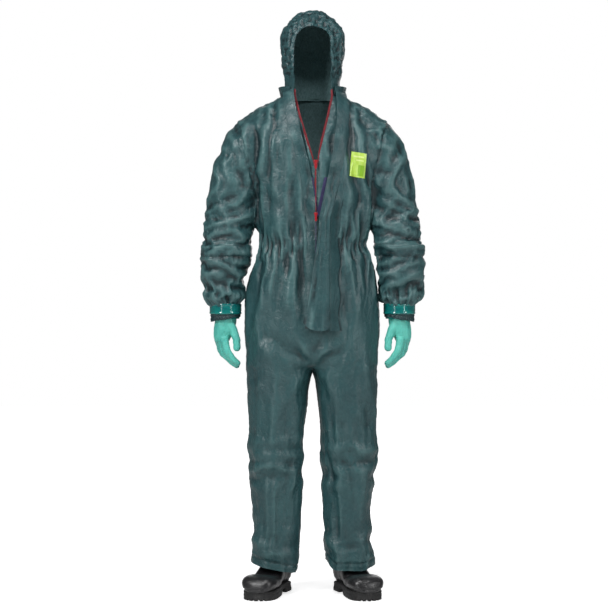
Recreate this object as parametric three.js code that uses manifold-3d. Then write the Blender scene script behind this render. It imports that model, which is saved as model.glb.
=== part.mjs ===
// Hooded chemical protective coverall with ring-locked gloves and safety shoes, standing as if worn.
// Millimetres, +Z up, the wearer faces -Y and the wearer's left is +X. The origin is on the floor,
// under the middle of the whole suit. Every cloth piece is a thin shell cut from one hollow body form.
import * as THREE from "three";
import { mergeVertices } from "three/addons/utils/BufferGeometryUtils.js";
import Module from "manifold-3d";

const wasm = await Module();
wasm.setup();

// ---- Driving dimensions ----------------------------------------------------------------------
const CLOTH = 3; // wall of the coverall's shells
const GAP = 0.7; // clearance left between neighbouring pieces
const JOINT_GAP = 1; // clearance between the two sides of a fold line
const FAR = 1200; // reach of a cutting block
const SMOOTHING = 0.25; // how far a surface may move when its small facets are merged
const COARSE = 1.4; // the same, for pieces with no close neighbour
const SIDES = 20; // points round a body section
const LIMB_SIDES = 16; // points round a sleeve or leg section

const BODY_AXIS_Y = 33.68; // the shoes reach forward, so the body stands behind the box's middle
const HEM_Z = 96;
const CROTCH_Z = 728;
const WAIST_Z = 1105;
const NECK_Z = 1583;
const SIDE_SEAM_Y = 4;

const SHOULDER = { x: 222, z: 1398, r: 104 };
const ELBOW = { z: 1085, r: 118 };
const HIP = { z: 740, r: 150 };
const KNEE = { z: 440, r: 132 };

const ZIP_X = 10; // both closures run down this line, a little to the wearer's left
const ZIP_FRONT_Y = -128; // the front panels' outer face along the closure
const ZIP_TOP_Z = 1365; // the inner zip is open above this height
const ZIP_END_Z = 842;
const OUTER_ZIP_TOP_Z = 1200;
const FLAP_HINGE_X = 53;
const FLAP_TOP_Z = 1188;
const FLAP_END_Z = 832;

const FLAP_FACE_Y = -149; // the flap stands clear of both zips and their sliders
const FLAP_WALL = 1.6;

const RING_X = 277; // axis of the glove ring
const RING_LOW_Z = 887;
const RING_HIGH_Z = 922;
const FACE = { half: 56, springZ: 1728, rise: 72 }; // the hood's opening: straight sides, half-oval top
const SHOE = { heelX: 95, heelY: 78, length: 282, toeOut: 17 };

// Body sections, from the crotch to the neck: height, half width, depth to the front, depth to the back.
const TORSO = [
  [CROTCH_Z, 211, 112, 116],
  [800, 213, 124, 126],
  [900, 212, 128, 128],
  [1000, 201, 128, 120],
  [1060, 184, 128, 108],
  [WAIST_Z, 171, 128, 98],
  [1160, 171, 128, 104],
  [1250, 169, 128, 112],
  [1340, 184, 128, 116],
  [1400, 208, 127, 116],
  [1450, 232, 120, 114],
  [1490, 241, 110, 108],
  [1512, 226, 102, 102],
  [1538, 186, 92, 92],
  [1558, 142, 84, 84],
  [NECK_Z, 97, 78, 74],
];

// Leg sections, from the hem up into the body: height, centre x, half width, half depth.
const LEG = [
  [HEM_Z, 122, 77, 88],
  [150, 116, 75, 86],
  [220, 110, 76, 85],
  [310, 110, 80, 88],
  [440, 116, 90, 97],
  [530, 110, 87, 99],
  [612, 108, 95, 106],
  [720, 107, 102, 113],
  [880, 104, 97, 116],
];

// Sleeve sections, from the wrist up into the shoulder: centre x, centre z, tilt of the arm's axis
// in degrees, half width, half depth.
const SLEEVE = [
  [277, 923, 0, 52, 54],
  [285, 963, 0, 62, 68],
  [279, 1027, 4, 75, 80],
  [272, 1091, 5, 82, 86],
  [265, 1155, 5, 83, 88],
  [253, 1265, 7, 76, 88],
  [232, 1350, 18, 75, 88],
  [212, 1410, 35, 77, 86],
  [188, 1452, 55, 68, 80],
];

// Hood sections, from the neck to the crown: height, half width, front, back.
const HOOD = [
  [1585, 82, 84, 74],
  [1633, 89, 96, 90],
  [1690, 100, 102, 108],
  [1725, 104, 102, 116],
  [1760, 102, 98, 114],
  [1790, 94, 88, 104],
  [1815, 80, 72, 88],
  [1834, 58, 50, 66],
  [1846, 30, 26, 36],
  [1850, 10, 9, 14],
];

// ---- Materials -------------------------------------------------------------------------------
const finish = (color, roughness, metalness = 0) =>
  new THREE.MeshStandardMaterial({ color, roughness, metalness });
const COATED_CLOTH = finish(0x35585a, 0.45);
const ZIP_RED = finish(0x7a1420, 0.6);
const ZIP_NAVY = finish(0x23244a, 0.6);
const SLIDER_RED = finish(0xa8202c, 0.35);
const ELASTIC = finish(0x24393c, 0.8);
const RING_TEAL = finish(0x0f8580, 0.2);
const GLOVE_GREEN = finish(0x5fc4b0, 0.45);
const LABEL_LIME = finish(0xb7e25a, 0.4);
const SHOE_LEATHER = finish(0x1c1c1f, 0.4);
const SHOE_RUBBER = finish(0x151516, 0.7);
const STEEL = finish(0x8c9095, 0.35, 1);

// ---- Solids ----------------------------------------------------------------------------------
function solid(geometry) {
  const bare = geometry.index ? geometry.toNonIndexed() : geometry.clone();
  bare.deleteAttribute("normal");
  bare.deleteAttribute("uv");
  const merged = mergeVertices(bare, 1e-3);
  return new wasm.Manifold(
    new wasm.Mesh({
      numProp: 3,
      vertProperties: merged.attributes.position.array,
      triVerts: new Uint32Array(merged.index.array),
    }),
  );
}

// Skins a stack of closed rings, lowest first and each counter-clockwise from above, and caps both ends.
function loft(rings) {
  const count = rings[0].length;
  const corners = [];
  const triangle = (a, b, c) => corners.push(...a, ...b, ...c);
  const middle = (ring) =>
    [0, 1, 2].map((k) => ring.reduce((sum, p) => sum + p[k], 0) / count);
  for (let row = 0; row + 1 < rings.length; row++) {
    for (let i = 0; i < count; i++) {
      const next = (i + 1) % count;
      triangle(rings[row][i], rings[row][next], rings[row + 1][next]);
      triangle(rings[row][i], rings[row + 1][next], rings[row + 1][i]);
    }
  }
  const bottom = middle(rings[0]);
  const top = middle(rings.at(-1));
  for (let i = 0; i < count; i++) {
    const next = (i + 1) % count;
    triangle(bottom, rings[0][next], rings[0][i]);
    triangle(top, rings.at(-1)[i], rings.at(-1)[next]);
  }
  const geometry = new THREE.BufferGeometry();
  geometry.setAttribute("position", new THREE.Float32BufferAttribute(corners, 3));
  return solid(geometry);
}

// A rounded-rectangle section: sharp above 1 swells the corners out from a plain ellipse.
function section(angle, halfWidth, front, back, sharp) {
  const round = (v) => Math.sign(v) * Math.abs(v) ** (1 / sharp);
  const depth = Math.sin(angle) < 0 ? front : back;
  return [halfWidth * round(Math.cos(angle)), depth * round(Math.sin(angle))];
}

function uprightStack(table, grow, sides, sharp) {
  return table.map(([z, halfWidth, front, back]) =>
    Array.from({ length: sides }, (_, i) => {
      const angle = (2 * Math.PI * i) / sides;
      const [x, y] = section(angle, halfWidth + grow, front + grow, back + grow, sharp);
      return [x, y, z];
    }),
  );
}

// The same table with its first and last sections moved outwards, so that a core cuts both ends open.
function stretched(table, low, high, column) {
  const rows = table.map((row) => [...row]);
  rows[0][column] -= low;
  rows.at(-1)[column] += high;
  return rows;
}

const torsoForm = (grow, low = 0, high = 0) =>
  loft(uprightStack(stretched(TORSO, low, high, 0), grow, SIDES, 1.2));

const hoodForm = (grow, low = 0) =>
  loft(uprightStack(stretched(HOOD, low, grow, 0), Math.max(grow, -9), SIDES, 1.05));

function legForm(grow, low = 0) {
  const rows = stretched(LEG, low, 0, 0);
  return loft(
    rows.map(([z, x, halfWidth, depth]) =>
      Array.from({ length: LIMB_SIDES }, (_, i) => {
        const angle = (2 * Math.PI * i) / LIMB_SIDES;
        const [dx, y] = section(angle, halfWidth + grow, depth + grow, depth + grow, 1.1);
        return [x + dx, y, z];
      }),
    ),
  );
}

function sleeveForm(grow, low = 0) {
  const rows = stretched(SLEEVE, low, 0, 1);
  return loft(
    rows.map(([x, z, tilt, halfWidth, depth]) =>
      Array.from({ length: LIMB_SIDES }, (_, i) => {
        const angle = (2 * Math.PI * i) / LIMB_SIDES;
        const [across, y] = section(angle, halfWidth + grow, depth + grow, depth + grow, 1.05);
        const lean = THREE.MathUtils.degToRad(tilt);
        return [x + across * Math.cos(lean), y, z + across * Math.sin(lean)];
      }),
    ),
  );
}

const block = (x0, x1, y0, y1, z0, z1) =>
  solid(
    new THREE.BoxGeometry(x1 - x0, y1 - y0, z1 - z0).translate(
      (x0 + x1) / 2,
      (y0 + y1) / 2,
      (z0 + z1) / 2,
    ),
  );
const below = (z) => block(-FAR, FAR, -FAR, FAR, -FAR, z);
const above = (z) => block(-FAR, FAR, -FAR, FAR, z, 2 * FAR);
const ahead = (y) => block(-FAR, FAR, -FAR, y, -FAR, 2 * FAR);
const behind = (y) => block(-FAR, FAR, y, FAR, -FAR, 2 * FAR);
const leftOf = (x) => block(x, FAR, -FAR, FAR, -FAR, 2 * FAR);
const rightOf = (x) => block(-FAR, x, -FAR, FAR, -FAR, 2 * FAR);

// A drum whose axis runs along X, for a fold that hinges front to back.
const drum = (z, radius) =>
  solid(
    new THREE.CylinderGeometry(radius, radius, 2 * FAR, 24).rotateZ(Math.PI / 2).translate(0, 0, z),
  );
const ball = (x, z, radius) =>
  solid(new THREE.SphereGeometry(radius, 18, 10).translate(x, 0, z));

// An outline in the XZ plane, pushed through from y0 to y1.
function plate(points, y0, y1) {
  const shape = new THREE.Shape(points.map(([x, z]) => new THREE.Vector2(x, z)));
  const geometry = new THREE.ExtrudeGeometry(shape, { depth: y1 - y0, bevelEnabled: false });
  return solid(geometry.rotateX(Math.PI / 2).translate(0, y1, 0));
}

const lathe = (profile, segments = 20) =>
  solid(
    new THREE.LatheGeometry(
      profile.map(([r, z]) => new THREE.Vector2(r, z)),
      segments,
    ).rotateX(Math.PI / 2),
  );

// A square-edged ring about Z.
const hoop = (inner, outer, z0, z1, segments = 20) =>
  lathe(
    [
      [inner, z0],
      [outer, z0],
      [outer, z1],
      [inner, z1],
      [inner, z0],
    ],
    segments,
  );

const biggest = (manifold) =>
  manifold.decompose().reduce((best, part) => (part.volume() > best.volume() ? part : best));

const suit = new THREE.Group();

function add(name, manifold, material, smoothing = SMOOTHING) {
  const whole = biggest(manifold.simplify(smoothing));
  const made = whole.getMesh();
  const geometry = new THREE.BufferGeometry();
  const points = new Float32Array(made.numVert * 3);
  for (let i = 0; i < made.numVert; i++) {
    points.set(made.vertProperties.subarray(i * made.numProp, i * made.numProp + 3), i * 3);
  }
  geometry.setAttribute("position", new THREE.BufferAttribute(points, 3));
  geometry.setIndex(new THREE.BufferAttribute(made.triVerts, 1));
  geometry.computeVertexNormals();
  const mesh = new THREE.Mesh(geometry, material);
  mesh.name = name;
  suit.add(mesh);
}

// Adds a piece modelled on the wearer's left, and its mirror image on the right.
function addPair(name, manifold, material, smoothing = SMOOTHING) {
  add(name + "_left", manifold, material, smoothing);
  add(name + "_right", manifold.mirror([1, 0, 0]), material, smoothing);
}

// ---- Body form, split into torso, sleeves and legs along the fold lines -------------------------
const torsoOuter = torsoForm(0);
const torsoCore = torsoForm(-CLOTH, -CLOTH, 8);
const legOuter = legForm(0);
const legCore = legForm(-CLOTH, 8);
const sleeveOuter = sleeveForm(0);
const sleeveCore = sleeveForm(-CLOTH, 8);
const mirrored = (manifold) => manifold.mirror([1, 0, 0]);

const bodyShell = torsoOuter
  .add(legOuter)
  .add(mirrored(legOuter))
  .subtract(torsoCore.add(legCore).add(mirrored(legCore)));

const shoulderBall = ball(SHOULDER.x, SHOULDER.z, SHOULDER.r);
const torsoShell = bodyShell
  .subtract(drum(HIP.z, HIP.r))
  .subtract(below(HIP.z))
  .subtract(shoulderBall)
  .subtract(mirrored(shoulderBall));

// ---- Front opening -----------------------------------------------------------------------------
// Edges of the inner zip's opening, from the collar down to the slider, as [x, z].
const INNER_EDGE_RIGHT = [
  [-58, 1600],
  [-56, 1576],
  [-20, 1442],
  [ZIP_X - 6, ZIP_TOP_Z],
];
const INNER_EDGE_LEFT = [
  [62, 1600],
  [62, 1576],
  [30, 1442],
  [ZIP_X + 6, ZIP_TOP_Z],
];
// Free edges of the outer layer, which stands wider open and closes lower down.
const OUTER_EDGE_RIGHT = [
  [-64, 1578],
  [-34, 1474],
  [-4, 1365],
  [5, 1282],
  [ZIP_X - 1, OUTER_ZIP_TOP_Z],
];
const OUTER_EDGE_LEFT = [
  [76, 1578],
  [78, 1522],
  [66, 1410],
  [50, 1330],
  [34, 1250],
  [ZIP_X + 9, OUTER_ZIP_TOP_Z],
];
const shifted = (edge, dx) => edge.map(([x, z]) => [x + dx, z]);

const openingOutline = [
  ...INNER_EDGE_RIGHT,
  [ZIP_X - 6, ZIP_END_Z],
  [ZIP_X + 6, ZIP_END_Z],
  ...[...INNER_EDGE_LEFT].reverse(),
];
const opening = plate(openingOutline, -FAR / 4, 0);
const frontShell = torsoShell.intersect(ahead(SIDE_SEAM_Y - GAP)).subtract(opening);
add("front_panel_left", frontShell.intersect(leftOf(ZIP_X + GAP)), COATED_CLOTH);
add("front_panel_right", frontShell.intersect(rightOf(ZIP_X)), COATED_CLOTH);

const backShell = torsoShell.intersect(behind(SIDE_SEAM_Y));
const BACK_SEAM_Z = WAIST_Z - 15; // just under the waist elastic
add("back_panel", backShell.intersect(above(BACK_SEAM_Z)), COATED_CLOTH);
add("seat_panel", backShell.intersect(below(BACK_SEAM_Z - GAP)), COATED_CLOTH);

// A thin layer that follows the body form, from `inside` to `outside` beyond the cloth's outer face.
const layer = (inside, outside) =>
  torsoForm(outside, 0, 8).subtract(torsoForm(inside, -8, 16)).intersect(ahead(-20));
const band = (edgeA, edgeB) => plate([...edgeA, ...[...edgeB].reverse()], -FAR / 4, -20);

// Inner zip: red tapes along both edges, closed below the slider.
const TAPE_WIDTH = 5.2;
const tapeLayer = layer(-2.6, -1);
const closedRight = [
  [ZIP_X - 6 + GAP, ZIP_END_Z + GAP],
  [ZIP_X - GAP, ZIP_END_Z + GAP],
];
const closedLeft = [
  [ZIP_X + 6 - GAP, ZIP_END_Z + GAP],
  [ZIP_X + GAP, ZIP_END_Z + GAP],
];
add(
  "inner_zip_tape_right",
  tapeLayer.intersect(
    band(
      [...shifted(INNER_EDGE_RIGHT, GAP).slice(1), closedRight[0]],
      [...shifted(INNER_EDGE_RIGHT, GAP + TAPE_WIDTH).slice(1), closedRight[1]],
    ),
  ),
  ZIP_RED,
);
add(
  "inner_zip_tape_left",
  tapeLayer.intersect(
    band(
      [...shifted(INNER_EDGE_LEFT, -GAP).slice(1), closedLeft[0]],
      [...shifted(INNER_EDGE_LEFT, -GAP - TAPE_WIDTH).slice(1), closedLeft[1]],
    ),
  ),
  ZIP_RED,
);

// A zip's closed chain, its slider with a channel for the chain, and the slider's pull.
const CHAIN = { width: 3, depth: 1.8, play: 0.8 };
const SLIDER = { width: 12, height: 16, depth: 5.4 };
const LUG = { width: 2.4, proud: 0.6, rise: 1.6 }; // the bridge that the pull hangs on
const PULL = { width: 7, length: 28, depth: 1.4, shoulder: 8, taper: 1.4, slot: 3.6, slotDepth: 5.2 };

function chain(y, top) {
  const half = CHAIN.width / 2;
  return block(ZIP_X - half, ZIP_X + half, y - CHAIN.depth, y, ZIP_END_Z + 6, top);
}

function slider(y, top) {
  const half = SLIDER.width / 2;
  const low = top - SLIDER.height / 2;
  const high = top + SLIDER.height / 2;
  const front = y - SLIDER.depth;
  const body = block(ZIP_X - half, ZIP_X + half, front + LUG.rise, y - GAP, low, high);
  const lugHalf = LUG.width / 2;
  const lugFront = front - LUG.proud;
  const lug = block(ZIP_X - lugHalf, ZIP_X + lugHalf, lugFront, front + 2, high - 4, high - 1);
  const reach = CHAIN.width / 2 + CHAIN.play;
  const roof = y - CHAIN.depth - CHAIN.play;
  const channel = block(ZIP_X - reach, ZIP_X + reach, roof, y + 4, low - 2, high + 2);
  return body.subtract(channel).add(lug);
}

function pull(y, top) {
  const half = PULL.width / 2;
  const front = y - SLIDER.depth;
  const high = top + SLIDER.height / 2 - 0.4;
  const low = high - PULL.length;
  const outline = new THREE.Shape();
  outline.moveTo(ZIP_X - half + PULL.taper, high);
  outline.lineTo(ZIP_X - half, high - PULL.shoulder);
  outline.lineTo(ZIP_X - half, low + half);
  outline.absarc(ZIP_X, low + half, half, Math.PI, 2 * Math.PI, false);
  outline.lineTo(ZIP_X + half, high - PULL.shoulder);
  outline.lineTo(ZIP_X + half - PULL.taper, high);
  const tab = solid(
    new THREE.ExtrudeGeometry(outline, {
      depth: PULL.depth,
      bevelEnabled: false,
      curveSegments: 6,
    })
      .rotateX(Math.PI / 2)
      .translate(0, front + 1, 0),
  );
  const slotHalf = PULL.slot / 2;
  const slotLow = high - PULL.slotDepth;
  const fork = block(ZIP_X - slotHalf, ZIP_X + slotHalf, front - 2, front + 2, slotLow, high + 1);
  return tab.subtract(fork);
}

const innerFace = ZIP_FRONT_Y;
add("inner_zip_chain", chain(innerFace + 0.4, ZIP_TOP_Z - 4), ZIP_RED);
add("inner_zip_slider", slider(innerFace + 0.4, ZIP_TOP_Z), SLIDER_RED);
add("inner_zip_pull", pull(innerFace, ZIP_TOP_Z), SLIDER_RED);
add(
  "inner_zip_end_stop",
  block(ZIP_X - 5, ZIP_X + 5, innerFace - 1.6, innerFace + 0.6, ZIP_END_Z + 0.8, ZIP_END_Z + 5.4),
  SLIDER_RED,
);

// Outer zip: navy tapes on the layer in front, with its own chain and slider.
const OUTER_LIFT = 10;
const outerFace = ZIP_FRONT_Y - OUTER_LIFT - 1.5;
const outerTapeLayer = layer(OUTER_LIFT, OUTER_LIFT + 1.5);
const OUTER_TAPE = 12; // width of one navy tape
const LAPEL_RIGHT = [-30, -4]; // each lapel's two edges, from the outer layer's free edge
const LAPEL_LEFT = [2, 36];
add(
  "outer_zip_tape_right",
  outerTapeLayer.intersect(
    band(
      [...shifted(OUTER_EDGE_RIGHT, -OUTER_TAPE), [ZIP_X - OUTER_TAPE, ZIP_END_Z]],
      [...OUTER_EDGE_RIGHT, [ZIP_X - GAP, ZIP_END_Z]],
    ),
  ),
  ZIP_NAVY,
);
add(
  "outer_zip_tape_left",
  outerTapeLayer.intersect(
    band(
      [...shifted(OUTER_EDGE_LEFT, OUTER_TAPE - 4), [ZIP_X + OUTER_TAPE, ZIP_END_Z]],
      [
        ...shifted(OUTER_EDGE_LEFT.slice(0, -1), -4),
        [ZIP_X + 1, OUTER_ZIP_TOP_Z],
        [ZIP_X + GAP, ZIP_END_Z],
      ],
    ),
  ),
  ZIP_NAVY,
);
add("outer_zip_chain", chain(outerFace - 0.3, OUTER_ZIP_TOP_Z - 6), ZIP_NAVY);
add("outer_zip_slider", slider(outerFace - 0.2, OUTER_ZIP_TOP_Z), SLIDER_RED);
add("outer_zip_pull", pull(outerFace - 0.6, OUTER_ZIP_TOP_Z), SLIDER_RED);

// Folded-back flap edges on both sides of the opening.
const LAPEL_LIFT = OUTER_LIFT + 2.4;
const LAPEL_WALL = 2;
const lapelLayer = layer(LAPEL_LIFT, LAPEL_LIFT + LAPEL_WALL).intersect(
  above(OUTER_ZIP_TOP_Z + 20),
);
add(
  "lapel_right",
  lapelLayer.intersect(
    band(shifted(OUTER_EDGE_RIGHT, LAPEL_RIGHT[0]), shifted(OUTER_EDGE_RIGHT, LAPEL_RIGHT[1])),
  ),
  COATED_CLOTH,
);
add(
  "lapel_left",
  lapelLayer.intersect(
    band(shifted(OUTER_EDGE_LEFT, LAPEL_LEFT[0]), shifted(OUTER_EDGE_LEFT, LAPEL_LEFT[1])),
  ),
  COATED_CLOTH,
);

// Storm flap over the closed part of the zips, hinged on the wearer's left.
const flapOutline = [
  [FLAP_HINGE_X, FLAP_TOP_Z],
  [24, FLAP_TOP_Z],
  [12, 1110],
  [-30, FLAP_END_Z],
  [FLAP_HINGE_X, FLAP_END_Z],
];
const STRIP = { gap: 0.4, wall: 0.8 };
add("storm_flap", plate(flapOutline, FLAP_FACE_Y, FLAP_FACE_Y + FLAP_WALL), COATED_CLOTH);
add(
  "flap_closure_strip",
  plate(
    [
      [6, 1080],
      [-2, 1080],
      [-24, FLAP_END_Z + 12],
      [-14, FLAP_END_Z + 12],
    ],
    FLAP_FACE_Y + FLAP_WALL + STRIP.gap,
    FLAP_FACE_Y + FLAP_WALL + STRIP.gap + STRIP.wall,
  ),
  ELASTIC,
);
// The sewn edge that the flap turns on, set back so that the open flap clears it.
const BASE = { from: 1, to: 9, setBack: 2.4 };
add(
  "flap_base",
  plate(
    [
      [FLAP_HINGE_X + BASE.from, FLAP_TOP_Z],
      [FLAP_HINGE_X + BASE.from, FLAP_END_Z],
      [FLAP_HINGE_X + BASE.to, FLAP_END_Z],
      [FLAP_HINGE_X + BASE.to, FLAP_TOP_Z],
    ],
    FLAP_FACE_Y + BASE.setBack,
    ZIP_FRONT_Y - 1,
  ),
  COATED_CLOTH,
);

add(
  "chest_label",
  layer(0.6, 1.6).intersect(
    plate(
      [
        [104, 1312],
        [152, 1307],
        [158, 1384],
        [110, 1392],
      ],
      -FAR / 4,
      -20,
    ),
  ),
  LABEL_LIME,
);

// Elastic sewn inside the waist, behind the front panels' edges.
const ELASTIC_WIDTH = 24;
add(
  "waist_elastic",
  torsoForm(-CLOTH - 0.6)
    .subtract(torsoForm(-CLOTH - 2, -8, 16))
    .intersect(above(WAIST_Z - ELASTIC_WIDTH / 2))
    .intersect(below(WAIST_Z + ELASTIC_WIDTH / 2))
    .subtract(block(-70, 90, -FAR, 0, 0, 2 * FAR)),
  ELASTIC,
);

// ---- Collar and hood -----------------------------------------------------------------------------
function collarForm(grow) {
  const table = [
    [NECK_Z + GAP + 1, 104, 93, 90],
    [1612, 108, 97, 94],
  ];
  const reach = grow < 0 ? 5 : 0;
  return loft(uprightStack(stretched(table, reach, reach, 0), grow, SIDES, 1.2));
}
const collar = collarForm(0).subtract(collarForm(-CLOTH)).intersect(ahead(18));
add("collar_left", collar.intersect(leftOf(66)), COATED_CLOTH);
add("collar_right", collar.intersect(rightOf(-60)), COATED_CLOTH);

// The face opening: straight sides down to the chin and a half-oval over the forehead.
function faceOpening(widen) {
  const outline = new THREE.Shape();
  const half = FACE.half + widen;
  const bottom = NECK_Z - 80;
  outline.moveTo(-half, bottom);
  outline.lineTo(half, bottom);
  outline.lineTo(half, FACE.springZ);
  outline.absellipse(0, FACE.springZ, half, FACE.rise + widen, 0, Math.PI, false);
  outline.lineTo(-half, bottom);
  const geometry = new THREE.ExtrudeGeometry(outline, {
    depth: 200,
    bevelEnabled: false,
    curveSegments: 10,
  });
  return solid(geometry.rotateX(Math.PI / 2).translate(0, -10, 0));
}
const hoodShell = hoodForm(0).subtract(hoodForm(-CLOTH, 8));
const HOOD_EDGE = 12; // width of the gathered band round the face
const hoodPanels = hoodShell.subtract(faceOpening(HOOD_EDGE + GAP));
const HOOD_CENTRE = 38;
add(
  "hood_centre_panel",
  hoodPanels.intersect(rightOf(HOOD_CENTRE)).intersect(leftOf(-HOOD_CENTRE)),
  COATED_CLOTH,
);
add("hood_side_panel_left", hoodPanels.intersect(leftOf(HOOD_CENTRE + GAP)), COATED_CLOTH);
add("hood_side_panel_right", hoodPanels.intersect(rightOf(-HOOD_CENTRE - GAP)), COATED_CLOTH);
add(
  "hood_face_elastic",
  hoodShell.intersect(faceOpening(HOOD_EDGE)).subtract(faceOpening(0)),
  ELASTIC,
);

// ---- Sleeves --------------------------------------------------------------------------------------
const armShell = torsoOuter.add(sleeveOuter).subtract(torsoCore.add(sleeveCore));
const insideBall = ball(SHOULDER.x, SHOULDER.z, SHOULDER.r - JOINT_GAP);
const sleeveTube = sleeveOuter
  .subtract(sleeveCore)
  .subtract(torsoForm(JOINT_GAP))
  .intersect(below(SHOULDER.z));
const wholeSleeve = armShell.intersect(insideBall).add(sleeveTube);
const elbowDrum = drum(ELBOW.z, ELBOW.r);
const elbowCore = drum(ELBOW.z, ELBOW.r - JOINT_GAP).intersect(leftOf(100)).add(below(ELBOW.z));
addPair("upper_sleeve", wholeSleeve.subtract(elbowDrum).subtract(below(ELBOW.z)), COATED_CLOTH);
addPair("lower_sleeve", wholeSleeve.intersect(elbowCore), COATED_CLOTH);

// The glove lock: a hard outer ring clamps the sleeve's inner cuff and the glove on an inner ring.
const onRing = (manifold) => manifold.translate([RING_X, 0, 0]);
addPair(
  "cuff_elastic",
  onRing(hoop(46.5, 48.2, RING_HIGH_Z + 3, RING_HIGH_Z + 17)),
  ELASTIC,
);
addPair(
  "glove_ring_outer",
  onRing(
    lathe([
      [47.6, RING_LOW_Z],
      [50, RING_LOW_Z],
      [51.5, RING_LOW_Z + 5],
      [51.5, RING_HIGH_Z - 6],
      [50.4, RING_HIGH_Z - 1],
      [47.6, RING_HIGH_Z - 1],
      [47.6, RING_LOW_Z],
    ]),
  ),
  RING_TEAL,
);
addPair("inner_cuff", onRing(hoop(45.4, 47, 863, RING_HIGH_Z - 2)), COATED_CLOTH);
addPair("glove_ring_inner", onRing(hoop(41.6, 44.8, 872, 916)), RING_TEAL);

// ---- Gloves: a relaxed hand, thumb towards the body and fingers curled under --------------------------
function capsule(from, to, radius) {
  const a = new THREE.Vector3(...from);
  const b = new THREE.Vector3(...to);
  const along = b.clone().sub(a);
  const geometry = new THREE.CapsuleGeometry(radius, along.length(), 2, 8);
  const turn = new THREE.Quaternion().setFromUnitVectors(
    new THREE.Vector3(0, 1, 0),
    along.clone().normalize(),
  );
  const centre = a.clone().add(b).multiplyScalar(0.5);
  geometry.applyQuaternion(turn).translate(centre.x, centre.y, centre.z);
  return solid(geometry);
}

// Fingers of the left hand from index to little: knuckle, middle joint and tip, then the radius.
const FINGERS = [
  [[-18, -22, 796], [-22, -30, 758], [-40, -20, 734], 10.5],
  [[-4, -14, 790], [-8, -20, 750], [-30, -8, 726], 10.5],
  [[10, -4, 792], [8, -8, 752], [-16, 4, 728], 10],
  [[22, 8, 798], [20, 6, 762], [-4, 16, 738], 9],
];
const THUMB = [[-20, -24, 842], [-36, -34, 806], [-42, -34, 776], 11.5];

const palm = solid(
  new THREE.SphereGeometry(1, 14, 8).scale(34, 22, 48).rotateZ(0.55).translate(2, -8, 820),
);
const wrist = solid(new THREE.SphereGeometry(1, 14, 8).scale(35, 27, 44).translate(0, 0, 868));
const fingerSolids = [...FINGERS, THUMB].flatMap(([knuckle, middle, tip, radius]) => [
  capsule(knuckle, middle, radius),
  capsule(middle, tip, radius - 1),
]);
const handSolid = fingerSolids.reduce((hand, finger) => hand.add(finger), palm.add(wrist));
const handPocket = lathe([
  [0, 846],
  [22, 852],
  [24, 930],
  [0, 930],
  [0, 846],
]);
const glove = handSolid.subtract(handPocket).subtract(above(900));
addPair("glove", onRing(glove), GLOVE_GREEN, COARSE);

// ---- Legs -------------------------------------------------------------------------------------------
const hipCore = drum(HIP.z, HIP.r - JOINT_GAP).add(below(HIP.z));
const wholeLeg = bodyShell.intersect(hipCore).intersect(leftOf(JOINT_GAP / 2));
const kneeCore = drum(KNEE.z, KNEE.r - JOINT_GAP).add(below(KNEE.z));
addPair("upper_leg", wholeLeg.subtract(drum(KNEE.z, KNEE.r)).subtract(below(KNEE.z)), COATED_CLOTH);
addPair("lower_leg", wholeLeg.intersect(kneeCore), COATED_CLOTH);
addPair(
  "hem_tape",
  legForm(-CLOTH - GAP, 8)
    .subtract(legForm(-CLOTH - 1.6, 16))
    .intersect(above(HEM_Z))
    .intersect(below(HEM_Z + 22)),
  ELASTIC,
);

// ---- Safety shoes: modelled heel at the origin and toe towards -Y, then turned and placed ------------
function footOutline(grow, from = 0, to = 1) {
  const halfWidth = (t) => {
    const heel = Math.sqrt(Math.max(0, 1 - ((0.12 - t) / 0.12) ** 2));
    const toe = Math.sqrt(Math.max(0, 1 - ((t - 0.8) / 0.2) ** 2));
    const side = 37 + 14 * THREE.MathUtils.smoothstep(t, 0.3, 0.72);
    return side * (t < 0.12 ? heel : t > 0.8 ? toe : 1);
  };
  const steps = 14;
  const left = Array.from({ length: steps + 1 }, (_, i) => {
    const t = from + ((to - from) * i) / steps;
    const swing = 5 * Math.sin(Math.PI * t);
    const half = Math.max(0.5, halfWidth(Math.min(Math.max(t, 0.004), 0.996)) + grow);
    return { t, swing, half };
  });
  const y = (t) => -t * SHOE.length;
  return [
    ...left.map(({ t, swing, half }) => new THREE.Vector2(swing + half, y(t))),
    ...left.reverse().map(({ t, swing, half }) => new THREE.Vector2(swing - half, y(t))),
  ];
}

const slab = (points, z0, z1) =>
  solid(
    new THREE.ExtrudeGeometry(new THREE.Shape(points.reverse()), {
      depth: z1 - z0,
      bevelEnabled: false,
    }).translate(0, 0, z0),
  );

// Shoe sections from heel to toe: place along the foot, half width, top height.
const UPPER = [
  [0.02, 26, 104],
  [0.1, 38, 118],
  [0.3, 39, 120],
  [0.42, 42, 104],
  [0.58, 47, 82],
  [0.72, 49, 72],
  [0.86, 46, 66],
  [0.95, 36, 56],
  [0.99, 20, 44],
];

function upperForm(grow, floor) {
  const arc = 14;
  const rings = UPPER.map(([t, halfWidth, top]) => {
    const y = -t * SHOE.length + (t < 0.5 ? grow : -grow) * 1.2;
    const swing = 5 * Math.sin(Math.PI * t);
    return Array.from({ length: arc }, (_, i) => {
      const angle = (2 * Math.PI * i) / arc;
      const rise = (Math.sin(angle) + 1) / 2;
      const bow = Math.sign(Math.cos(angle)) * Math.abs(Math.cos(angle)) ** 0.7;
      return [swing + (halfWidth + grow) * bow, y, floor + (top + grow - floor) * rise];
    });
  });
  return loft(rings);
}

const placeShoe = (manifold) =>
  manifold.rotate([0, 0, SHOE.toeOut]).translate([SHOE.heelX, SHOE.heelY, 0]);

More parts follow.
